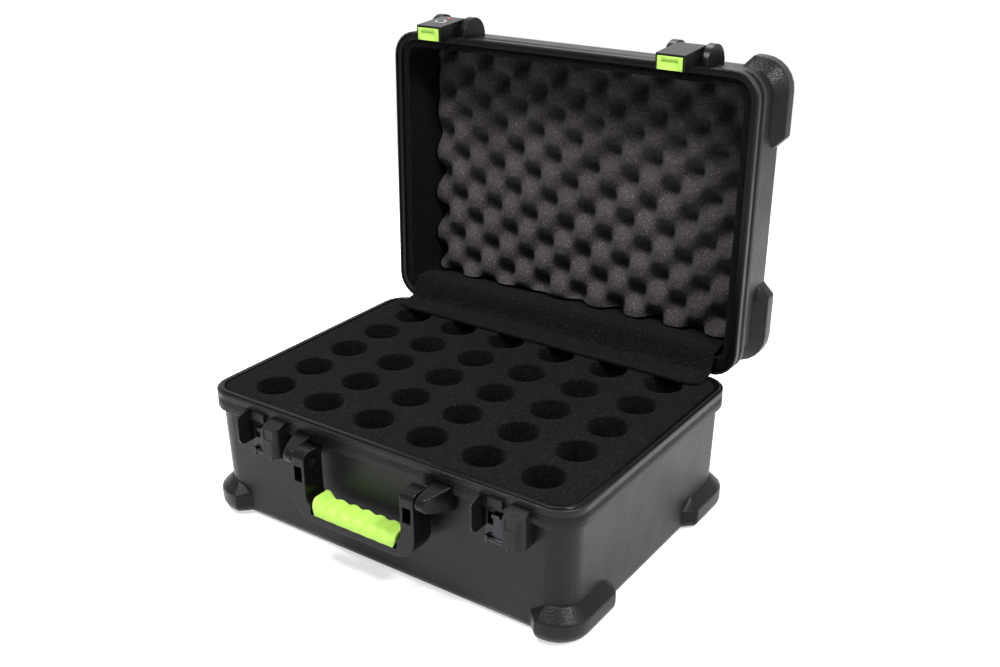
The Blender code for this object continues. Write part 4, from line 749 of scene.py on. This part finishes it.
@dataclass
class DrilledFoam:
    """The foam block with its round sockets, and the pad under it.

    Args:
        columns: Sockets along X.
        rows: Sockets along Y.
        pitch_x: Their spacing along X.
        pitch_y: Their spacing along Y.
        socket: The socket radius.
        lip_round: The rounding that the cutter leaves at a socket's mouth.
        corner: The block's corner radius.
        side_steps: Points along one side of the square round a socket.
        mouth_steps: Steps of the rounding at a socket's mouth.
        flat_steps: Rings between a socket's mouth and its square.
        levels: The shares of the block's height at which a socket's wall has rings.
        stray: How far the cutter strays from true.
        seed: The seed of the cutter's strays.
        block_round: The rounding of the block's edges.
        pad_round: The rounding of the pad's edges.
        pad_grid: The pad's mesh columns and rows.
    """

    columns: int = 6
    rows: int = 5
    pitch_x: float = 0.0670
    pitch_y: float = 0.0580
    socket: float = 0.0210
    lip_round: float = 0.0016
    corner: float = 0.0220
    side_steps: int = 14
    mouth_steps: int = 5
    flat_steps: int = 3
    levels: tuple[float, ...] = (0.25, 0.5, 0.75)
    stray: float = 0.00025
    seed: int = 7
    block_round: float = 0.0012
    pad_round: float = 0.0010
    pad_grid: tuple[int, int] = (48, 34)

    def build(self) -> None:
        """Make and dress the block and its pad."""
        dress(self.block(), SHADE_DARKENED_CUT_FOAM, "base", ("mic_foam",))
        dress(self.pad(), SHADE_DARKENED_CUT_FOAM, "base", ("base_pad",))

    def cell_border(self, column: int, row: int, half: Vector) -> list[Vector]:
        """List the points round one socket's square, the outer ones on the block's outline.

        Args:
            column: The socket's column.
            row: The socket's row.
            half: The block's half sizes.

        Returns:
            The border points, counter-clockwise from the lower left corner.
        """
        inner_x = [(i - self.columns / 2) * self.pitch_x for i in range(1, self.columns)]
        inner_y = [(i - self.rows / 2) * self.pitch_y for i in range(1, self.rows)]
        edges_x, edges_y = [-half.x, *inner_x, half.x], [-half.y, *inner_y, half.y]
        low_x, high_x = edges_x[column], edges_x[column + 1]
        low_y, high_y = edges_y[row], edges_y[row + 1]
        corners = [(low_x, low_y), (high_x, low_y), (high_x, high_y), (low_x, high_y)]
        border = []
        for side in range(4):
            start, end = Vector(corners[side]), Vector(corners[(side + 1) % 4])
            for step in range(self.side_steps):
                spot = start.lerp(end, step / self.side_steps)
                pulled = rounded_pull(spot.x, spot.y, half.x, half.y, self.corner)
                border.append(Vector((*pulled, 0.0)))
        return border

    def rings(self, cell: SocketCell, top: float, bottom: float) -> list[list[bmesh.types.BMVert]]:
        """Add the rings of one cell, from its lower border up the wall to its upper border.

        Args:
            cell: The cell.
            top: The height of the block's upper face.
            bottom: The height of its lower face.

        Returns:
            The rings, in order.
        """
        rings = []
        wide = self.socket + self.lip_round
        for step in range(self.flat_steps, 0, -1):
            rings.append(cell.flat(step / self.flat_steps, wide, bottom))
        rings.append(cell.wall(self.socket, bottom))
        for level in self.levels:
            rings.append(cell.wall(self.socket, bottom + (top - bottom) * level))
        for step in range(self.mouth_steps + 1):
            angle = math.pi / 2 * step / self.mouth_steps
            radius = wide - self.lip_round * math.cos(angle)
            rings.append(cell.wall(radius, top - self.lip_round * (1 - math.sin(angle))))
        for step in range(1, self.flat_steps + 1):
            rings.append(cell.flat(step / self.flat_steps, wide, top))
        return rings

    def block(self) -> bpy.types.Object:
        """Build the drilled block.

        Returns:
            The block.
        """
        low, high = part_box("mic_foam")
        half = Vector(((high.x - low.x) / 2, (high.y - low.y) / 2, 0.0))
        work = bmesh.new()
        draws = random.Random(self.seed)
        top, bottom = high.z, low.z
        for column in range(self.columns):
            for row in range(self.rows):
                across = (column - (self.columns - 1) / 2) * self.pitch_x
                along = (row - (self.rows - 1) / 2) * self.pitch_y
                border = self.cell_border(column, row, half)
                # Each socket is cut a touch out of true.
                wobble = [draws.uniform(-1, 1) * self.stray for _ in range(3)]
                cell = SocketCell(work, Vector((across, along, 0.0)), border, wobble)
                rings = self.rings(cell, top, bottom)
                for inner, outer in zip(rings, rings[1:]):
                    for i in range(len(border)):
                        j = (i + 1) % len(border)
                        work.faces.new((inner[i], inner[j], outer[j], outer[i]))
        bmesh.ops.remove_doubles(work, verts=work.verts, dist=SEAM_WELD)
        open_edges = [edge for edge in work.edges if edge.is_boundary]
        upper = {v for e in open_edges for v in e.verts if v.co.z > (top + bottom) / 2}
        by_place = {
            (round(v.co.x, 6), round(v.co.y, 6)): v
            for e in open_edges
            for v in e.verts
            if v.co.z < (top + bottom) / 2
        }
        for edge in open_edges:
            first, second = edge.verts
            if first in upper and second in upper:
                below = [by_place[(round(v.co.x, 6), round(v.co.y, 6))] for v in (second, first)]
                work.faces.new((first, second, *below))
        block = link_mesh("microphone_foam_block", work)
        round_edges(block, self.block_round, 3, 60)
        settle(block)
        shade(block, 50)
        return block

    def pad(self) -> bpy.types.Object:
        """Build the flat pad under the block.

        Returns:
            The pad.
        """
        low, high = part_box("base_pad")
        half_x, half_y = (high.x - low.x) / 2, (high.y - low.y) / 2
        work = bmesh.new()
        columns, rows = self.pad_grid
        bmesh.ops.create_grid(work, x_segments=columns, y_segments=rows, size=1.0)
        for vert in work.verts:
            x, y = vert.co.x * half_x, vert.co.y * half_y
            vert.co.x, vert.co.y = rounded_pull(x, y, half_x, half_y, self.corner)
            vert.co.z = high.z
        drawn = bmesh.ops.extrude_face_region(work, geom=work.faces[:])
        for item in drawn["geom"]:
            if isinstance(item, bmesh.types.BMVert):
                item.co.z = low.z
        pad = link_mesh("floor_pad", work)
        round_edges(pad, self.pad_round, 2, 50)
        settle(pad)
        shade(pad, 50)
        return pad


@dataclass
class LidFoam:
    """The waved foam in the lid and the strips round it.

    Args:
        pitch: The spacing of the peaks.
        turn: How far the lattice is turned in the lid, in degrees.
        start_x: The place of one peak along X.
        start_y: The place of one peak along Y.
        depth: From hollow to peak.
        fullness: How much fuller the peaks are than the hollows.
        corner: The foam's corner radius.
        drift: How far the lattice and the face stray.
        drift_rates: The slowest and the fastest of the strays, in radians per metre.
        seed: The seed of the strays.
        columns: Mesh columns.
        rows: Mesh rows.
        strip_edge: The edge radius of the strips.
    """

    pitch: float = 0.0361
    turn: float = 49.2
    start_x: float = -0.0633
    start_y: float = -0.0783
    depth: float = 0.0240
    fullness: float = 1.75
    corner: float = 0.0140
    drift: float = 0.00035
    drift_rates: tuple[int, int] = (60, 140)
    seed: int = 11
    columns: int = 230
    rows: int = 160
    strip_edge: float = 0.0008

    def build(self) -> None:
        """Make and dress the waved foam and the strips."""
        dress(self.waves(), WAVE_FOAM, "lid", ("lid_wave_foam",))
        for side in ("front", "rear", "left", "right"):
            node = "lid_foam_" + side
            strip = refined(node, node + "_strip", self.strip_edge, 40)
            dress(strip, SHADE_DARKENED_CUT_FOAM, "lid", (node,))

    def waves(self) -> bpy.types.Object:
        """Build the waved foam.

        Returns:
            The foam, in the open lid.
        """
        low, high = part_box("lid_wave_foam")
        half_x = (high.x - low.x) / 2
        # The open lid stands a degree past upright, so the foam's depth is measured on the closed lid.
        shut = hinge_turn(-OPEN_ANGLE)
        spots = [shut @ v.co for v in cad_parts["lid_wave_foam"].data.vertices]
        half_y = max(spot.y for spot in spots)
        face, back = min(spot.z for spot in spots), max(spot.z for spot in spots)
        angle = math.radians(self.turn)
        draws = random.Random(self.seed)
        rates = self.drift_rates
        waves = [
            (draws.uniform(*rates), draws.uniform(*rates), draws.uniform(0, math.tau))
            for _ in range(4)
        ]
        work = bmesh.new()
        bmesh.ops.create_grid(work, x_segments=self.columns, y_segments=self.rows, size=1.0)
        for vert in work.verts:
            x, y = rounded_pull(vert.co.x * half_x, vert.co.y * half_y, half_x, half_y, self.corner)
            drift = sum(math.sin(a * x + b * y + c) for a, b, c in waves) * self.drift
            from_x, from_y = x - self.start_x + drift, y - self.start_y - drift
            first = (from_x * math.cos(angle) + from_y * math.sin(angle)) / self.pitch
            second = (from_x * math.sin(angle) - from_y * math.cos(angle)) / self.pitch
            peak = (math.cos(math.tau * first) + math.cos(math.tau * second)) / 2
            # Foam that was pressed through rollers has far fuller peaks than hollows.
            share = ((1 - peak) / 2) ** self.fullness
            vert.co = (x, y, face + self.depth * share + drift)
            vert.co.z = max(vert.co.z, face)
        drawn = bmesh.ops.extrude_face_region(work, geom=work.faces[:])
        for item in drawn["geom"]:
            if isinstance(item, bmesh.types.BMVert):
                item.co.z = back
        bmesh.ops.transform(work, matrix=hinge_turn(OPEN_ANGLE), verts=work.verts)
        foam = link_mesh("waved_lid_foam", work)
        shade(foam, 60)
        return foam


@dataclass
class HingeFlap:
    """The thin foam sheet that covers the gap between the base's foam and the lid's.

    Args:
        half_width: Half of its width.
        thickness: Its thickness.
        route: Its underside from the base's foam into the lid, as (Y, Z).
        across: Mesh columns.
        between: Mesh rows between two points of the route.
        ripple: The height of its ripples.
        ripple_rates: How fast its two ripples run along X, in radians per metre.
        corner: The length of its rounded corners along X.
        corner_pull: Their length along Y.
        edge: The rounding of its edges.
        seed: The seed of where the ripples start.
    """

    half_width: float = 0.2010
    thickness: float = 0.0036
    route: tuple[tuple[float, float], ...] = (
        (0.1270, 0.1433),
        (0.1390, 0.1434),
        (0.1500, 0.1440),
        (0.1575, 0.1452),
        (0.1620, 0.1500),
        (0.1648, 0.1560),
        (0.1680, 0.1625),
        (0.1730, 0.1664),
        (0.1840, 0.1669),
        (0.1980, 0.1669),
    )
    across: int = 90
    between: int = 5
    ripple: float = 0.00035
    ripple_rates: tuple[int, int] = (31, 73)
    corner: float = 0.012
    corner_pull: float = 0.006
    edge: float = 0.0010
    seed: int = 5

    def spots(self) -> list[tuple[float, float]]:
        """Smooth the route.

        Returns:
            The smoothed route's points.
        """
        made = []
        last = len(self.route) - 1
        for i in range(last):
            before, start = self.route[max(i - 1, 0)], self.route[i]
            end, after = self.route[i + 1], self.route[min(i + 2, last)]
            for step in range(self.between):
                t = step / self.between
                made.append(
                    tuple(
                        0.5
                        * (
                            2 * start[k]
                            + (end[k] - before[k]) * t
                            + (2 * before[k] - 5 * start[k] + 4 * end[k] - after[k]) * t * t
                            + (3 * start[k] - before[k] - 3 * end[k] + after[k]) * t**3
                        )
                        for k in (0, 1)
                    )
                )
        return made + [self.route[-1]]

    def build(self) -> None:
        """Make and dress the sheet."""
        spots = self.spots()
        work = bmesh.new()
        draws = random.Random(self.seed)
        phase = [draws.uniform(0, math.tau) for _ in range(3)]
        columns = []
        for column in range(self.across + 1):
            x = self.half_width * (2 * column / self.across - 1)
            slow, fast = (math.sin(rate * x + start) for rate, start in zip(self.ripple_rates, phase))
            lift = self.ripple * (slow + fast + 2.0)
            taper = min(1.0, (self.half_width - abs(x)) / self.corner)
            reach = math.sin(math.pi / 2 * taper)
            kept = []
            for i, (y, z) in enumerate(spots):
                share = i / (len(spots) - 1)
                inward = (1 if share < 0.5 else -1) * abs(2 * share - 1)
                end_pull = (1 - reach) * self.corner_pull * inward
                kept.append(work.verts.new((x, y + end_pull, z + lift * math.sin(math.pi * share))))
            columns.append(kept)
        for first, second in zip(columns, columns[1:]):
            for i in range(len(first) - 1):
                work.faces.new((first[i], first[i + 1], second[i + 1], second[i]))
        mesh = bpy.data.meshes.new("hinge_foam_flap")
        bmesh.ops.recalc_face_normals(work, faces=work.faces)
        if sum(face.normal.z for face in work.faces) < 0:
            bmesh.ops.reverse_faces(work, faces=work.faces)
        work.to_mesh(mesh)
        work.free()
        flap = bpy.data.objects.new("hinge_foam_flap", mesh)
        bpy.context.scene.collection.objects.link(flap)
        thick = flap.modifiers.new("thickness", "SOLIDIFY")
        thick.thickness = self.thickness
        thick.offset = 1.0
        round_edges(flap, self.edge, 2, 60)
        settle(flap)
        shade(flap, 50)
        dress(flap, SHADE_DARKENED_CUT_FOAM, "", ())
        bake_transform(flap)


# ---- Fittings ----
@dataclass
class Grip:
    """The soft grip that is moulded over the handle's bar.

    Args:
        crown: The rounding along its upper front edge.
        back_crown: The rounding along its upper back edge.
        skin: Its thickness over the bar.
        spare: What it has more than that on top.
        bite: How far its inner walls sink into the bar.
        bar_height: The height of the bar's upper face over the handle's lowest point.
        wave: The height of the finger waves.
        bulge: How far the waves swell its front.
        waves: Half waves to each side of the middle.
        heel: How far the lower corners of its ends are cut back.
        waist: How far the middle of its end faces is drawn in.
        flare: How far its ends rise.
        flare_length: Over what length they rise.
        end_round: The rounding of its end faces.
        straight: The share of its length over which its sections stand straight.
        stations: Sections along its length.
        turn_steps: Points in each rounded corner.
    """

    crown: float = 0.0092
    back_crown: float = 0.0045
    skin: float = 0.0029
    spare: float = 0.0008
    bite: float = 0.0006
    bar_height: float = 0.0153
    wave: float = 0.0010
    bulge: float = 0.0002
    heel: float = 0.0042
    waist: float = 0.0016
    waves: int = 5
    flare: float = 0.0058
    flare_length: float = 0.0120
    end_round: float = 0.0016
    straight: float = 0.84
    stations: int = 140
    turn_steps: int = 7

    def section(
        self, x: float, low: Vector, high: Vector, bar_top: float, inset: float
    ) -> list[Vector]:
        """List the points of one cross-section.

        Args:
            x: The section's place along the bar.
            low: The lowest corner of the solid grip.
            high: Its highest corner.
            bar_top: The height of the bar's upper face.
            inset: How far the section is drawn in at a rounded end.

        Returns:
            The section's points, in order round it.
        """
        half = (high.x - low.x) / 2
        middle = half - self.flare_length
        swell = math.cos(math.pi * self.waves * x / middle)
        rise = max(0.0, (abs(x) - middle) / self.flare_length)
        rise = rise * rise * (3 - 2 * rise)
        top = bar_top + self.skin + self.spare + self.wave * swell + self.flare * rise - inset
        front = low.y - self.bulge * swell * (1 - rise) + inset
        back = high.y + self.bulge * swell * (1 - rise) - inset
        bottom = low.z + inset
        points = [Vector((x, front, bottom))]
        rounds = (
            (front + self.crown, self.crown, 180.0),
            (back - self.back_crown, self.back_crown, 90.0),
        )
        for centre_y, radius, start in rounds:
            for step in range(self.turn_steps + 1):
                angle = math.radians(start - 90.0 * step / self.turn_steps)
                y = centre_y + radius * math.cos(angle)
                points.append(Vector((x, y, top - radius + radius * math.sin(angle))))
        points.append(Vector((x, back, bottom)))
        inner_back = high.y - self.skin - self.bite
        inner_front = low.y + self.skin + self.bite
        for y, z in (
            (inner_back, bottom),
            (inner_back, bar_top),
            (inner_front, bar_top),
            (inner_front, bottom),
        ):
            points.append(Vector((x, y, z)))
        near_end = max(0.0, abs(x) / half - self.straight) / (1 - self.straight)
        for point in points:
            fall = (top - point.z) / (top - bottom)
            drawn = self.heel * fall**3 + self.waist * math.sin(math.pi * fall)
            point.x -= math.copysign(near_end * drawn, x)
        return points

    def build(self) -> bpy.types.Object:
        """Build the grip.

        Returns:
            The grip.
        """
        low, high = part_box("handle_grip")
        bar_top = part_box("handle_frame")[0].z + self.bar_height
        half = (high.x - low.x) / 2
        work = bmesh.new()
        loops = []
        for station in range(self.stations + 1):
            share = station / self.stations
            x = -half * math.cos(math.pi * share) if share in (0.0, 1.0) else half * (2 * share - 1)
            near_end = max(0.0, abs(x) - (half - self.end_round)) / self.end_round
            inset = self.end_round * (1 - math.sqrt(max(0.0, 1 - near_end * near_end)))
            section = self.section(x, low, high, bar_top, inset)
            loops.append([work.verts.new(spot) for spot in section])
        count = len(loops[0])
        for first, second in zip(loops, loops[1:]):
            for i in range(count):
                j = (i + 1) % count
                work.faces.new((first[i], first[j], second[j], second[i]))
        work.faces.new(loops[0])
        work.faces.new(loops[-1])
        grip = link_mesh("soft_grip", work)
        shade(grip, 50)
        return grip


@dataclass
class Handle:
    """The drop handle with its grip, its ears and its pins.

    Args:
        edge: The edge radius of the moulded frame.
        ear_cell: The fineness of the ears' mesh.
        ear_passes: How often the ears' points are evened.
    """

    edge: float = 0.0016
    ear_cell: float = 0.0006
    ear_passes: int = 26

    def build(self) -> None:
        """Make and dress the handle's pieces."""
        clad("handle_frame", "handle_bow", FITTING_NYLON, "handle", self.edge, steps=4)
        dress(Grip().build(), LIME_PLASTIC, "handle", ("handle_grip",))
        for hand in ("left", "right"):
            node = "handle_mount_" + hand
            ear = softened(node, "handle_ear_" + hand, self.ear_cell, self.ear_passes)
            dress(ear, FITTING_NYLON, "base", (node,))
            recoat("handle_pin_" + hand, BLACK_STEEL)


@dataclass
class Latch:
    """One latch on the lid with its arm, its push tab and its claw.

    Args:
        hand: Left or right.
        edge: The edge radius of the bracket and the tab.
        lever_edge: The edge radius of the lever.
        dish_half: Half of the width of the finger dish in the tab.
        dish_low: Where the dish starts over the tab's lower edge.
        dish_high: Where it ends.
        dish_depth: Its middle depth.
        dish_slope: How much deeper its upper end is than its middle.
        dish_round: Its edge rounding.
    """

    hand: str
    edge: float = 0.0006
    lever_edge: float = 0.0004
    dish_half: float = 0.0098
    dish_low: float = 0.0019
    dish_high: float = 0.0094
    dish_depth: float = 0.0016
    dish_slope: float = 0.0007
    dish_round: float = 0.0015

    def tab(self) -> bpy.types.Object:
        """Build the push tab with the finger dish in its face.

        Returns:
            The tab.
        """
        node = "latch_tab_" + self.hand
        low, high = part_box(node)
        middle = (low.x + high.x) / 2
        work = bmesh.new()
        bmesh.ops.create_cube(work, size=2.0)
        for vert in work.verts:
            above = vert.co.z > 0
            inner = low.y + self.dish_depth + (self.dish_slope if above else -self.dish_slope)
            vert.co = (
                middle + self.dish_half * (1 if vert.co.x > 0 else -1),
                inner if vert.co.y > 0 else low.y - 2 * self.dish_round,
                low.z + (self.dish_high if above else self.dish_low),
            )
        dish = link_mesh("tab_dish_cutter_" + self.hand, work)
        round_edges(dish, self.dish_round, 4, CRISP_DEGREES).limit_method = "NONE"
        settle(dish)
        piece = refined(node, "push_tab_" + self.hand, self.edge, steps=3)
        cut = piece.modifiers.new("dish", "BOOLEAN")
        cut.solver = "EXACT"
        cut.object = dish
        settle(piece)
        bpy.data.objects.remove(dish)
        shade(piece, CRISP_DEGREES)
        return piece

    def build(self) -> None:
        """Make and dress the latch's pieces."""
        bracket, moulding = "latch_bracket_" + self.hand, "latch_bracket_moulding_" + self.hand
        clad(bracket, moulding, FITTING_NYLON, "lid", self.edge)
        arm, lever = "latch_arm_" + self.hand, "latch_lever_" + self.hand
        clad(arm, lever, FITTING_NYLON, "latch_" + self.hand, self.lever_edge)
        dress(self.tab(), LIME_PLASTIC, "tab_" + self.hand, ("latch_tab_" + self.hand,))
        recoat("latch_pin_" + self.hand, PIN_STEEL)
        recoat("latch_claw_" + self.hand, PIN_STEEL)
        if self.hand == "left":
            recoat("key_barrel", BRIGHT_STEEL)
            recoat("key_plug", BLACK_STEEL)
            recoat("lock_indicator", RED_PLASTIC)


@dataclass
class Catch:
    """One catch on the base front.

    Args:
        hand: Left or right.
        edge: The edge radius of the pressed pieces.
    """

    hand: str
    edge: float = 0.0003

    def build(self) -> None:
        """Make and dress the catch's pieces."""
        plate, hook = "catch_plate_" + self.hand, "catch_hook_" + self.hand
        clad(plate, "catch_frame_" + self.hand, BLACK_STEEL, "base", self.edge)
        clad(hook, "catch_bar_" + self.hand, BLACK_STEEL, "catch_" + self.hand, self.edge)
        recoat("catch_pin_" + self.hand, PIN_STEEL)


@dataclass
class Hinge:
    """One knuckle hinge at the back.

    Args:
        hand: Left or right.
        edge: The edge radius of the leaves.
    """

    hand: str
    edge: float = 0.0002

    def build(self) -> None:
        """Make and dress the hinge's pieces."""
        for body in ("base", "lid"):
            node, plate = (f"hinge_{body}_{part}_{self.hand}" for part in ("leaf", "plate"))
            clad(node, plate, BLACK_STEEL, body, self.edge)
        recoat("hinge_pin_" + self.hand, PIN_STEEL)


# ---- Studio ----
@dataclass(frozen=True)
class SoftBox:
    """One lamp with a large soft face.

    Args:
        name: The lamp's name.
        place: Where it hangs.
        size: The width and height of its face.
        watts: Its power.
    """

    name: str
    place: tuple[float, float, float]
    size: tuple[float, float]
    watts: float

    def build(self, target: Vector) -> None:
        """Hang the lamp.

        Args:
            target: The point that it is aimed at.
        """
        lamp = bpy.data.lights.new(self.name, "AREA")
        lamp.shape = "RECTANGLE"
        lamp.size, lamp.size_y = self.size
        lamp.energy = self.watts
        holder = bpy.data.objects.new(self.name, lamp)
        bpy.context.scene.collection.objects.link(holder)
        holder.location = self.place
        holder.rotation_euler = (target - Vector(self.place)).to_track_quat("-Z", "Y").to_euler()


@dataclass
class Studio:
    """The pale floor, the lamps and the camera.

    Args:
        eye: The camera's place.
        tilt: Its rotation in degrees.
        lens: Its focal length in millimetres.
        sensor: The width of its sensor in millimetres.
        far: How far it sees.
        aim: The point that the lamps are aimed at.
        ambient: The strength of the white surroundings.
        floor_glow: How much of the backdrop's white the camera sees on the floor.
        floor_reach: The distances between which the floor gives way to the white surroundings.
        floor_drop: How far the floor lies under the case, so that the two never share a face.
        boxes: The lamps.
    """

    eye: tuple[float, float, float] = (0.6782, -0.9228, 0.7004)
    tilt: tuple[float, float, float] = (66.456, 0.166, 34.634)
    lens: float = 43.42
    sensor: float = 36.0
    far: float = 50.0
    aim: tuple[float, float, float] = (0.0, 0.05, 0.2)
    ambient: float = 0.22
    floor_glow: float = 0.60
    floor_reach: tuple[float, float] = (0.75, 1.7)
    floor_drop: float = 0.0002
    boxes: tuple[SoftBox, ...] = field(
        default=(
            SoftBox("right_softbox", (1.9, 0.1, 0.8), (0.9, 0.9), 9.0),
            SoftBox("top_softbox", (-0.35, -0.75, 1.95), (0.6, 0.6), 42.0),
            SoftBox("rear_softbox", (-0.3, 1.0, 1.7), (0.7, 0.7), 14.0),
            SoftBox("corner_softbox", (1.15, -0.36, 1.5), (0.35, 0.35), 22.0),
        )
    )

    def build(self) -> None:
        """Set up the studio."""
        self.world()
        self.floor()
        for box in self.boxes:
            box.build(Vector(self.aim))
        camera = bpy.data.cameras.new("studio_camera")
        camera.lens = self.lens
        camera.sensor_width = self.sensor
        camera.clip_end = self.far
        holder = bpy.data.objects.new("studio_camera", camera)
        bpy.context.scene.collection.objects.link(holder)
        holder.location = self.eye
        holder.rotation_euler = tuple(math.radians(angle) for angle in self.tilt)
        bpy.context.scene.camera = holder
        bpy.context.scene.view_settings.view_transform = "Standard"

    @staticmethod
    def seen(tree: bpy.types.NodeTree) -> bpy.types.NodeSocket:
        """Find the rays that show the background.

        Args:
            tree: The tree that asks.

        Returns:
            A socket that is 1 for camera, glossy and transmission rays.
        """
        path = add_node(tree, "LightPath")
        both = add_node(
            tree,
            "Math",
            {"operation": "MAXIMUM"},
            {0: path.outputs["Is Camera Ray"], 1: path.outputs["Is Glossy Ray"]},
        )
        return add_node(
            tree,
            "Math",
            {"operation": "MAXIMUM"},
            {0: both.outputs[0], 1: path.outputs["Is Transmission Ray"]},
        ).outputs[0]

    def world(self) -> None:
        """Make the white surroundings."""
        world = bpy.data.worlds.new("studio_white")
        bpy.context.scene.world = world
        world.use_nodes = True
        tree = world.node_tree
        tree.nodes.clear()
        level = add_node(
            tree, "MapRange", {}, {0: self.seen(tree), 1: 0.0, 2: 1.0, 3: self.ambient, 4: 1.0}
        )
        glow = add_node(tree, "Background", {}, {"Color": (1, 1, 1, 1), "Strength": level.outputs[0]})
        add_node(tree, "OutputWorld", {}, {"Surface": glow.outputs[0]})

    def floor(self) -> None:
        """Lay the pale floor."""
        work = bmesh.new()
        bmesh.ops.create_grid(work, x_segments=8, y_segments=8, size=self.floor_reach[1])
        floor = link_mesh("studio_floor", work)
        made = bpy.data.materials.new("floor_paper_matt")
        made.use_nodes = True
        tree = made.node_tree
        tree.nodes.clear()
        fibres = add_node(tree, "TexNoise", {}, {"Scale": FIBRE_SCALE, "Detail": 2.0})
        bump = add_node(
            tree, "Bump", {}, {"Height": fibres.outputs["Fac"], "Distance": FIBRE_HEIGHT}
        )
        paper = add_node(
            tree,
            "BsdfDiffuse",
            {},
            {"Color": linear("#f4f4f4"), "Roughness": 0.5, "Normal": bump.outputs[0]},
        )
        level = add_node(
            tree, "Math", {"operation": "MULTIPLY"}, {0: self.seen(tree), 1: self.floor_glow}
        )
        glow = add_node(tree, "Emission", {}, {"Color": (1, 1, 1, 1), "Strength": level.outputs[0]})
        both = add_node(tree, "AddShader", {}, {0: paper.outputs[0], 1: glow.outputs[0]})
        place = add_node(tree, "TexCoord").outputs["Object"]
        away = add_node(tree, "VectorMath", {"operation": "LENGTH"}, {0: place}).outputs["Value"]
        start, end = self.floor_reach
        gone = add_node(
            tree,
            "MapRange",
            {"interpolation_type": "SMOOTHSTEP"},
            {0: away, 1: start, 2: end, 3: 0.0, 4: 1.0},
        ).outputs[0]
        clear = add_node(tree, "BsdfTransparent")
        faded = add_node(tree, "MixShader", {}, {0: gone, 1: both.outputs[0], 2: clear.outputs[0]})
        add_node(tree, "OutputMaterial", {}, {"Surface": faded.outputs[0]})
        floor.data.materials.append(made)
        floor.location.z = -self.floor_drop


def main() -> None:
    """Build the finishes, every piece and the studio."""
    logging.basicConfig(level=logging.INFO, format="%(name)s: %(message)s")
    for finish in FINISHES:
        MATERIALS[finish.name] = finish.material()
    builders: list[Callable[[], None]] = [
        Shells().build, DrilledFoam().build, LidFoam().build, HingeFlap().build, Handle().build
    ]
    for hand in ("left", "right"):
        builders += [Latch(hand).build, Catch(hand).build, Hinge(hand).build]
    for build in builders:
        build()
    Studio().build()


if __name__ == "__main__":
    main()
